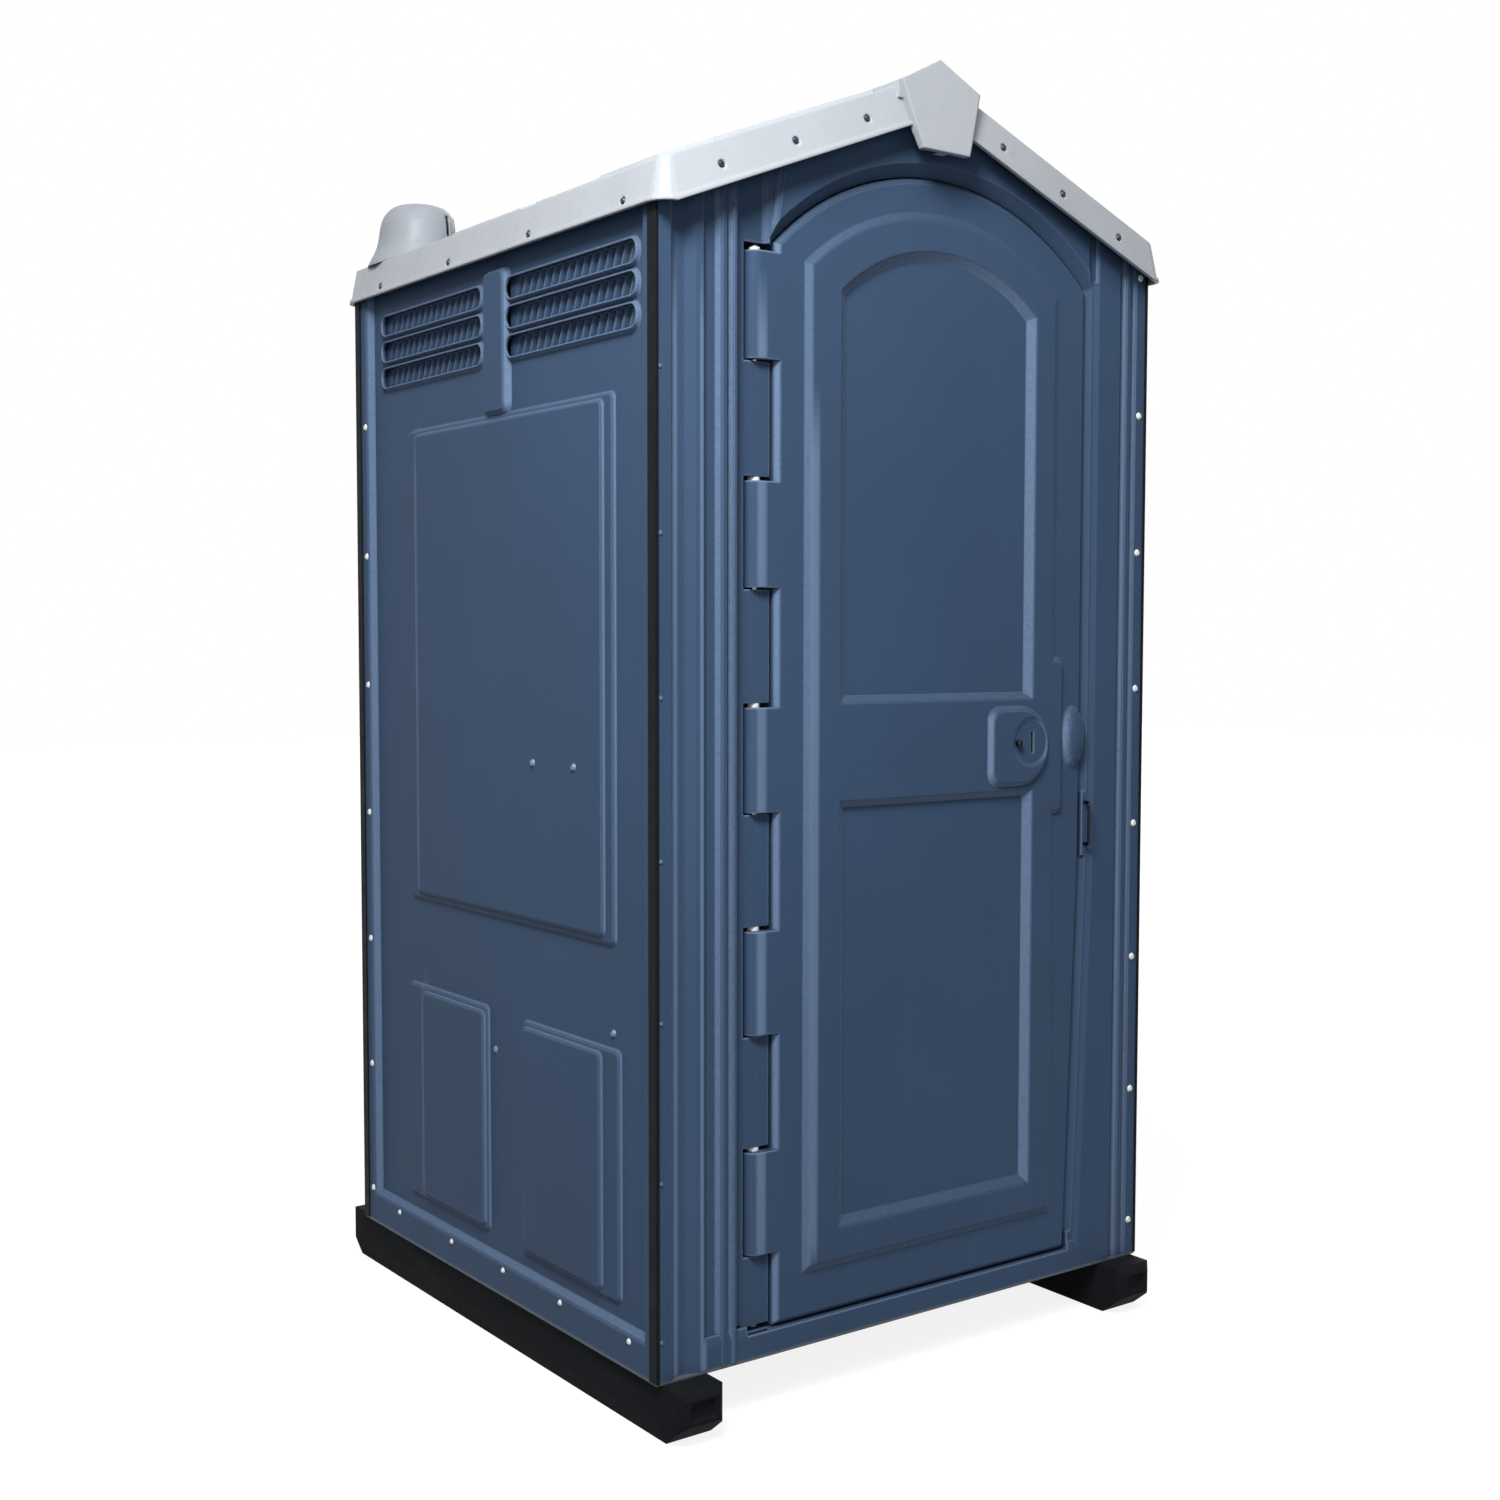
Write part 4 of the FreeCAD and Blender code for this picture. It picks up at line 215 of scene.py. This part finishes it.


# The second argument sets painted shade on slopes that face up; the third lists painted highlight lines.
def moulded(name, ledge_shade=0.25, highlight_lines=()):
    finish = Finish(name, BODY, SHEET_ROUGHNESS, specular=0.03)
    patches = finish.noise(1.7, detail=3.0)
    streaks = finish.noise(9.0, detail=5.0, stretch=(1.0, 1.0, 0.12))
    fine = finish.noise(150.0, detail=3.0)
    colour = finish.mix(finish.ramp(patches, 0.35, 0.68), lighter(BODY, 0.94), lighter(BODY, 1.05))
    colour = finish.mix(finish.ramp(streaks, 0.50, 0.80, 0.0, 0.3), colour, lighter(BODY, CHALK))
    colour = finish.mix(finish.ramp(fine, 0.35, 0.65, 0.0, 0.10), colour, lighter(BODY, 0.75))
    settled = finish.times(finish.height(0.09, 0.42), finish.ramp(streaks, 0.35, 0.62))
    colour = finish.mix(finish.times(settled, DUST_AMOUNT), colour, DUST)
    # Proud edges paler: partly rubbed wear, partly painted highlight.
    proud = finish.hollows(RUBBED_HIGHLIGHT_REACH, 0.95, 0.68, inside=True)
    rubbed_and_highlight = finish.times(proud, finish.ramp(fine, 0.2, 0.6, 0.5, 0.8))
    colour = finish.mix(rubbed_and_highlight, colour, RUBBED_AND_HIGHLIGHT)
    # Painted shade: deep corners and creases are darkened.
    corner_shade = finish.times(finish.hollows(CORNER_SHADE_REACH, 0.80, 0.25), 0.6)
    colour = finish.mix(corner_shade, colour, lighter(BODY, 0.3))
    # Painted highlight: each pale upright line stands in for light on a flute, knuckle or bevel.
    for axis, place, width, foot, top, highlight_strength in highlight_lines:
        painted_highlight = finish.times(finish.ridge(axis, place, width, foot, top),
                            finish.ramp(streaks, 0.2, 0.7, 0.6 * highlight_strength, highlight_strength))
        colour = finish.mix(painted_highlight, colour, RUBBED_AND_HIGHLIGHT)
    # Painted shade: slopes that face up are darkened.
    colour = finish.mix(finish.times(finish.ledges(), ledge_shade), colour, lighter(BODY, 0.55))
    finish.colour(colour)
    finish.roughness(finish.ramp(patches, 0.3, 0.7, SHEET_ROUGHNESS - 0.05, SHEET_ROUGHNESS + 0.07))
    finish.bump(finish.noise(420.0, detail=2.0), PEBBLE_DEPTH, 0.8, SHEET_EDGE)
    return finish.material


body_blue = moulded("slate_blue_sheet")
wall_blue = moulded("slate_blue_wall", highlight_lines=(
    ("Y", 0.286, 0.014, 0.78, 1.72, 0.6),
    ("Y", 0.277, 0.013, 0.18, 0.66, 0.6),
))
frame_blue = moulded("slate_blue_frame", ledge_shade=0.5, highlight_lines=(
    ("X", -0.5185, 0.009, 0.0, 1.9, 0.85),
    ("X", -0.468, 0.008, 0.0, 1.9, 0.85),
))
door_blue = moulded("slate_blue_door", ledge_shade=0.7, highlight_lines=(
    ("X", -0.348, 0.012, 0.0, 1.9, 0.85),
    ("X", -0.243, 0.011, 0.22, 1.72, 0.85),
))
print("made", body_blue.name, wall_blue.name, frame_blue.name, door_blue.name)

# %% [markdown]
# ## The roof
#
# The roof is moulded in a milky pale grey that lets daylight into the cabin. It is a little glossier
# than the walls and picks up grey dirt in faint runs. A touch of subsurface light softens its edges,
# as it does in a translucent plastic. The vent cowl is the same plastic in a darker grey.

# %% The roof's finish
ROOF = srgb(174, 179, 185)


def milky(name, base):
    finish = Finish(name, base, 0.42, specular=0.25)
    runs = finish.noise(7.0, detail=6.0, stretch=(1.0, 1.0, 0.25))
    specks = finish.noise(60.0, detail=6.0, rough=0.7)
    colour = finish.mix(finish.ramp(runs, 0.40, 0.75, 0.0, 0.5), base, lighter(base, 0.86))
    colour = finish.mix(finish.ramp(specks, 0.56, 0.74, 0.0, 0.45), colour, lighter(base, 0.74))
    # Painted shade: deep corners and creases are darkened.
    corner_shade = finish.times(finish.hollows(CORNER_SHADE_REACH, 0.80, 0.25), 0.6)
    colour = finish.mix(corner_shade, colour, srgb(120, 124, 132))
    finish.colour(colour)
    finish.shader.inputs["Subsurface Weight"].default_value = 0.12
    finish.shader.inputs["Subsurface Radius"].default_value = (0.02, 0.02, 0.025)
    finish.roughness(finish.ramp(specks, 0.3, 0.7, 0.36, 0.52))
    finish.bump(finish.noise(300.0, detail=3.0), 0.0003, 0.7, 0.005)
    return finish.material


roof_grey = milky("milky_grey_roof", ROOF)
cowl_grey = milky("darker_grey_cowl", srgb(149, 154, 161))
print("made", roof_grey.name, cowl_grey.name)

# %% [markdown]
# ## Black runners and trims
#
# The skids are pressed from recycled black plastic, rough and scraped where forklifts and gravel have
# caught them. The corner trims are the same colour but extruded, so they are smoother. Scrapes are
# made from a noise that is stretched hard along one axis.


# %% The black finishes
def black_plastic(name, roughness, scrape, edge, soiled=0.12):
    base = srgb(23, 25, 28)
    finish = Finish(name, base, roughness, specular=0.05)
    scrapes = finish.noise(30.0, detail=6.0, rough=0.75, stretch=(1.0, 0.15, 1.0))
    dirt = finish.noise(8.0, detail=5.0)
    colour = finish.mix(finish.ramp(scrapes, 0.55, 0.75, 0.0, scrape), base, srgb(46, 48, 52))
    colour = finish.mix(finish.ramp(dirt, 0.50, 0.80, 0.0, soiled), colour, srgb(42, 42, 42))
    finish.colour(colour)
    finish.roughness(finish.ramp(scrapes, 0.3, 0.7, roughness - 0.1, roughness + 0.12))
    finish.bump(finish.noise(260.0, detail=5.0, rough=0.7), 0.0006, 0.9, edge)
    return finish.material


skid_black = black_plastic("scraped_black_runner", 0.8, 0.3, 0.006)
trim_black = black_plastic("black_trim", 0.5, 0.06, 0.0012, soiled=0.05)
fitting_black = black_plastic("black_fitting", 0.42, 0.06, 0.002, soiled=0.05)
print("made", skid_black.name, trim_black.name, fitting_black.name)

# %% [markdown]
# ## Metal, white and inside finishes
#
# Zinc-plated steel has a faint spangle. The roof's rivets have weathered darker, and the padlock
# staple and the lock's knob are nearly black. Rivet heads, the screws along the base and the bushes
# are off-white. Inside, the tank is a dark grey moulding, the seat and lid are glossy black, the bowl
# is pale grey and the paper is soft. Each gets its own chain, because light gives a plain colour away
# at once.

# %% Metal, nylon and the rest
def zinc(name, base, roughness):
    finish = Finish(name, base, roughness, metallic=1.0)
    spangle = finish.noise(140.0, detail=4.0)
    finish.colour(finish.mix(finish.ramp(spangle, 0.35, 0.65), lighter(base, 0.78), lighter(base, 1.1)))
    finish.roughness(finish.ramp(spangle, 0.3, 0.7, roughness - 0.08, roughness + 0.12))
    finish.bump(finish.noise(500.0, detail=4.0), 0.0001, 0.7, 0.0008)
    return finish.material


def smooth_plastic(name, base, roughness, mottle=0.08, edge=0.002, grain=0.0001):
    finish = Finish(name, base, roughness)
    mottling = finish.noise(26.0, detail=4.0)
    dark, light = lighter(base, 1.0 - mottle), lighter(base, 1.0 + mottle)
    finish.colour(finish.mix(finish.ramp(mottling, 0.35, 0.7), dark, light))
    finish.roughness(finish.ramp(mottling, 0.3, 0.7, roughness - 0.04, roughness + 0.08))
    finish.bump(finish.noise(380.0, detail=3.0), grain, 0.6, edge)
    return finish.material


zinc_steel = zinc("zinc_plated_steel", srgb(176, 178, 182), 0.34)
dark_steel = zinc("weathered_steel", srgb(66, 72, 86), 0.42)
blackened_steel = zinc("blackened_steel", srgb(40, 44, 54), 0.38)
fixing_blue = smooth_plastic("painted_bolt_head", srgb(112, 130, 156), 0.35, mottle=0.1, edge=0.001)
white_nylon = smooth_plastic("white_nylon", srgb(232, 233, 232), 0.34, mottle=0.04, edge=0.0012)
tank_grey = smooth_plastic("dark_tank_moulding", srgb(70, 76, 84), 0.5, edge=0.005, grain=0.0003)
seat_black = smooth_plastic("glossy_black_seat", srgb(34, 35, 38), 0.22, edge=0.004)
bowl_grey = smooth_plastic("pale_grey_bowl", srgb(168, 174, 182), 0.28, edge=0.004)
pan_grey = smooth_plastic("floor_pan_moulding", srgb(78, 84, 92), 0.6, mottle=0.14, edge=0.002, grain=0.0005)
hose_rubber = smooth_plastic("black_rubber_hose", srgb(30, 31, 33), 0.6, edge=0.001)
# The indicator disc's dull green is darkened with painted shade.
indicator_green = smooth_plastic("indicator_green", srgb(30, 60, 46), 0.3, edge=0.0006)
card_brown = smooth_plastic("card_core", srgb(158, 132, 100), 0.85, mottle=0.12, edge=0.0004, grain=0.0004)
paper_white = smooth_plastic("soft_paper", srgb(226, 222, 214), 0.9, mottle=0.05, edge=0.001, grain=0.0006)
print("made 13 finishes")

# %% [markdown]
# ## Dressing the pieces
#
# Every solid takes a finish by its name. The table below is short because pieces with the same finish
# share a line.

# %% Give each piece its finish
FINISHES = {
    body_blue: ["rear_wall", "door_inner_skin", "vent_screen_left", "vent_screen_right", "jamb_rivets"],
    wall_blue: ["left_wall", "right_wall"],
    door_blue: ["door_outer_skin"],
    frame_blue: ["front_frame"],
    roof_grey: ["roof"],
    cowl_grey: ["vent_cowl"],
    skid_black: ["skid_left", "skid_right"],
    trim_black: ["corner_trim_front_left", "corner_trim_front_right", "corner_trim_rear_left",
                 "corner_trim_rear_right", "vent_pipe"],
    fitting_black: ["latch_lever", "latch_case", "coat_hook", "paper_bracket", "paper_spindle"],
    white_nylon: ["corner_rivets", "hinge_bushes", "base_screws"],
    zinc_steel: ["skid_bolts", "hinge_rod", "closer_spring", "latch_bolt", "latch_keeper"],
    dark_steel: ["roof_rivets"],
    blackened_steel: ["padlock_staple", "lock_spindle"],
    fixing_blue: ["fixture_bolts"],
    tank_grey: ["tank"],
    seat_black: ["toilet_seat", "toilet_lid", "seat_hinge"],
    bowl_grey: ["urinal"],
    pan_grey: ["base_floor"],
    hose_rubber: ["urinal_hose"],
    indicator_green: ["indicator_disc"],
    paper_white: ["paper_roll_front", "paper_roll_rear"],
}


def dress(piece, material):
    piece.data.materials.clear()
    piece.data.materials.append(material)


for material, names in FINISHES.items():
    for name in names:
        dress(nodes[name], material)
undressed = set(nodes) - {name for names in FINISHES.values() for name in names}
print("dressed:", sum(len(names) for names in FINISHES.values()), "left:", sorted(undressed))

# %% [markdown]
# ## The urinal's hose
#
# A black rubber hose hangs from the urinal's spout and sweeps back into the tank. It is a smooth curve
# over four points: straight down out of the spout, along the wall, and straight down into the deck.

# %% Hose
HOSE_ROUTE = [(-0.4967, -0.241, 0.7817), (-0.4967, -0.241, 0.694), (-0.470, 0.040, 0.652),
              (-0.470, 0.040, 0.552)]
HOSE_D = 0.0314


def curve_through(name, route, radius, material):
    data = bpy.data.curves.new(name, "CURVE")
    data.dimensions = "3D"
    spline = data.splines.new("NURBS")
    spline.points.add(len(route) - 1)
    for point, place in zip(spline.points, route):
        point.co = (*place, 1.0)
    spline.order_u = 3
    spline.use_endpoint_u = True
    spline.resolution_u = 16
    data.bevel_depth = radius
    data.bevel_resolution = 6
    data.materials.append(material)
    piece = bpy.data.objects.new(name, data)
    bpy.context.scene.collection.objects.link(piece)
    return piece


hose = curve_through("drain_hose", HOSE_ROUTE, HOSE_D / 2, hose_rubber)
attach(hose, "cabin")
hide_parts("urinal_hose")
print("hose of", len(HOSE_ROUTE), "points")

# %% [markdown]
# ## Paper rolls
#
# Two rolls sit side by side on the holder. Each is one strip wound round a card core. The turns are
# drawn thicker than real paper, so that the winding still shows, and their edges wander a little.

# %% Wound paper
ROLL_X, ROLL_Z = 0.4597, 0.703
ROLL_WIDTH = 0.100
ROLL_OUTSIDE, CORE_OUTSIDE, CORE_INSIDE = 0.0556, 0.0214, 0.0202
TURNS = 13
STEPS = 44
CORE_SIDES = 48
CORE_GAP = 0.0001
PAPER_SHARE = 0.9
EDGE_WANDER = 0.0007


def strip_mesh(name, rows, closed, material):
    """Faces between neighbouring rings of four points; an open strip gets its two end faces."""
    mesh = bmesh.new()
    rings = [[mesh.verts.new(point) for point in ring] for ring in rows]
    pairs = list(zip(rings, rings[1:])) + ([(rings[-1], rings[0])] if closed else [])
    for first, second in pairs:
        for k in range(4):
            mesh.faces.new((first[k], first[k - 1], second[k - 1], second[k]))
    if not closed:
        mesh.faces.new(rings[0])
        mesh.faces.new(rings[-1][::-1])
    bmesh.ops.recalc_face_normals(mesh, faces=mesh.faces[:])
    data = bpy.data.meshes.new(name)
    mesh.to_mesh(data)
    mesh.free()
    data.materials.append(material)
    piece = bpy.data.objects.new(name, data)
    bpy.context.scene.collection.objects.link(piece)
    return piece


def ring_of_four(angle, inner, outer, near, far):
    cos, sin = math.cos(angle), math.sin(angle)
    return [(ROLL_X + r * cos, y, ROLL_Z + r * sin)
            for r, y in ((inner, near), (outer, near), (outer, far), (inner, far))]


def wound_roll(end, middle, seed):
    rng = random.Random(seed)
    pitch = (ROLL_OUTSIDE - CORE_OUTSIDE) / (TURNS + 1)
    wander = [rng.uniform(0.0, EDGE_WANDER) for _ in range(TURNS + 2)]
    rows = []
    for k in range(TURNS * STEPS + 1):
        turn = k / STEPS
        inner = CORE_OUTSIDE + CORE_GAP + pitch * turn
        outer = inner + pitch * PAPER_SHARE
        whole = int(turn)
        drift = wander[whole] + (wander[whole + 1] - wander[whole]) * (turn - whole)
        half = ROLL_WIDTH / 2 - drift
        rows.append(ring_of_four(turn * 2 * math.pi + seed, inner, outer, middle - half, middle + half))
    paper = strip_mesh("paper_" + end, rows, False, paper_white)
    near, far = middle - ROLL_WIDTH / 2, middle + ROLL_WIDTH / 2
    around = [ring_of_four(2 * math.pi * k / CORE_SIDES, CORE_INSIDE, CORE_OUTSIDE, near, far)
              for k in range(CORE_SIDES)]
    core = strip_mesh("core_" + end, around, True, card_brown)
    for piece in (paper, core):
        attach(piece, "roll_" + end)
    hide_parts("paper_roll_" + end)


wound_roll("front", -0.233, 1)
wound_roll("rear", -0.127, 2)
print("two rolls of", TURNS, "turns")

# %% [markdown]
# ## The studio
#
# The cabin stands on a pale floor in front of a white backdrop. The camera and glossy things see that
# white, while a much weaker fill lights the cabin, and the floor keeps a faint shadow. The floor's
# own glow grows with distance, so that no horizon shows.

# %% Floor and world
GROUND_SIZE = 40.0
FILL = 0.20
BACKDROP = 1.0
GLOW = {"From Min": 1.5, "From Max": 8.0, "To Min": 0.86, "To Max": 0.99}


def seen_directly(tree):
    """One for rays that come from the camera, from a gloss or through glass, and zero for soft light."""
    path = tree.nodes.new("ShaderNodeLightPath")
    total = path.outputs["Is Camera Ray"]
    for name in ("Is Glossy Ray", "Is Transmission Ray"):
        more = tree.nodes.new("ShaderNodeMath")
        more.operation = "MAXIMUM"
        tree.links.new(total, more.inputs[0])
        tree.links.new(path.outputs[name], more.inputs[1])
        total = more.outputs[0]
    return total


def pale_ground(name):
    """A pale floor whose white glow is seen but lights nothing, so that only the shadow marks it."""
    material = bpy.data.materials.new(name)
    material.use_nodes = True
    tree = material.node_tree
    shader = tree.nodes["Principled BSDF"]
    shader.inputs["Roughness"].default_value = 0.95
    shader.inputs["Specular IOR Level"].default_value = 0.1
    shade = tree.nodes.new("ShaderNodeTexNoise")
    shade.inputs["Scale"].default_value = 3.0
    tint = tree.nodes.new("ShaderNodeMapRange")
    tint.inputs["To Min"].default_value = 0.19
    tint.inputs["To Max"].default_value = 0.20
    tree.links.new(shade.outputs["Fac"], tint.inputs["Value"])
    direct = seen_directly(tree)
    pale = tree.nodes.new("ShaderNodeMix")
    pale.data_type = "RGBA"
    pale.inputs[6].default_value = (0.22, 0.22, 0.23, 1.0)
    tree.links.new(direct, pale.inputs[0])
    tree.links.new(tint.outputs["Result"], pale.inputs[7])
    tree.links.new(pale.outputs[2], shader.inputs["Base Color"])
    reach = tree.nodes.new("ShaderNodeVectorMath")
    reach.operation = "LENGTH"
    tree.links.new(tree.nodes.new("ShaderNodeTexCoord").outputs["Object"], reach.inputs[0])
    far = tree.nodes.new("ShaderNodeMapRange")
    for socket, value in GLOW.items():
        far.inputs[socket].default_value = value
    tree.links.new(reach.outputs["Value"], far.inputs["Value"])
    glow = tree.nodes.new("ShaderNodeMath")
    glow.operation = "MULTIPLY"
    tree.links.new(far.outputs["Result"], glow.inputs[1])
    tree.links.new(direct, glow.inputs[0])
    shader.inputs["Emission Color"].default_value = (1.0, 1.0, 1.0, 1.0)
    tree.links.new(glow.outputs[0], shader.inputs["Emission Strength"])
    return material


bpy.ops.mesh.primitive_plane_add(size=GROUND_SIZE)
ground = bpy.context.object
ground.name = "studio_floor"
dress(ground, pale_ground("pale_floor"))

world = bpy.data.worlds.new("studio")
bpy.context.scene.world = world
world.use_nodes = True
sky = world.node_tree
fill = sky.nodes["Background"]
fill.inputs["Color"].default_value = (0.96, 0.98, 1.0, 1.0)
fill.inputs["Strength"].default_value = FILL
backdrop = sky.nodes.new("ShaderNodeBackground")
backdrop.inputs["Color"].default_value = (1.0, 1.0, 1.0, 1.0)
backdrop.inputs["Strength"].default_value = BACKDROP
either = sky.nodes.new("ShaderNodeMixShader")
sky.links.new(seen_directly(sky), either.inputs[0])
sky.links.new(fill.outputs[0], either.inputs[1])
sky.links.new(backdrop.outputs[0], either.inputs[2])
sky.links.new(either.outputs[0], sky.nodes["World Output"].inputs["Surface"])
print("floor", GROUND_SIZE, "m across, fill", FILL)

# %% [markdown]
# ## Lamps
#
# A small lamp near the upper left makes the walls fade from top to bottom, as they do in the
# photograph. A low soft lamp reaches under the eave, a wide sun from the front evens the two visible
# sides, and a lower sun from behind keeps the back and the right wall readable.


# %% Lamps
def aimed(name, kind, azimuth, height, distance, **settings):
    """A lamp aimed at the cabin's middle; azimuth 0 faces the door, 90 faces the left wall."""
    data = bpy.data.lights.new(name, kind)
    for key, value in settings.items():
        setattr(data, key, value)
    turn, rise = math.radians(azimuth), math.radians(height)
    away = Vector((-math.sin(turn) * math.cos(rise), -math.cos(turn) * math.cos(rise), math.sin(rise)))
    light = bpy.data.objects.new(name, data)
    light.location = Vector((0.0, 0.0, 1.1)) + away * distance
    light.rotation_euler = away.to_track_quat("Z", "Y").to_euler()
    bpy.context.scene.collection.objects.link(light)


aimed("near_key", "AREA", 45.5, 40.5, 3.55, energy=104.0, shape="DISK", size=1.0)
aimed("low_softbox", "AREA", 34.0, 6.0, 5.5, energy=32.0, shape="RECTANGLE", size=1.3, size_y=1.6)
aimed("even_sun", "SUN", 34.0, 52.0, 8.0, energy=0.8, angle=math.radians(20.0))
aimed("rear_sun", "SUN", 226.0, 26.0, 8.0, energy=1.35, angle=math.radians(35.0))

# %% [markdown]
# ## Camera
#
# The camera stands to the left of the door, a little above half the cabin's height, and looks slightly
# down through a nearly normal lens. Its place and lens were worked out from the cabin's own straight
# edges, so that the outline falls within a few pixels of the photograph's.

# %% Camera
CAMERA_PLACE = (-2.17152, -3.01910, 1.29384)
CAMERA_YAW = math.radians(36.2178)
CAMERA_PITCH = math.radians(3.39398)
CAMERA_ROLL = math.radians(0.07549)
LENS_MM = 44.685
SENSOR_MM = 36.0

camera_data = bpy.data.cameras.new("camera")
camera_data.lens = LENS_MM
camera_data.sensor_width = SENSOR_MM
camera = bpy.data.objects.new("camera", camera_data)
camera.location = CAMERA_PLACE
camera.rotation_mode = "XYZ"
turn = Matrix.Rotation(-CAMERA_YAW, 4, "Z") @ Matrix.Rotation(math.pi / 2 - CAMERA_PITCH, 4, "X")
camera.matrix_world = Matrix.Translation(CAMERA_PLACE) @ turn @ Matrix.Rotation(CAMERA_ROLL, 4, "Z")
bpy.context.scene.collection.objects.link(camera)
bpy.context.scene.camera = camera
bpy.context.scene.view_settings.view_transform = "Standard"
print("camera at", [round(v, 2) for v in camera.location])
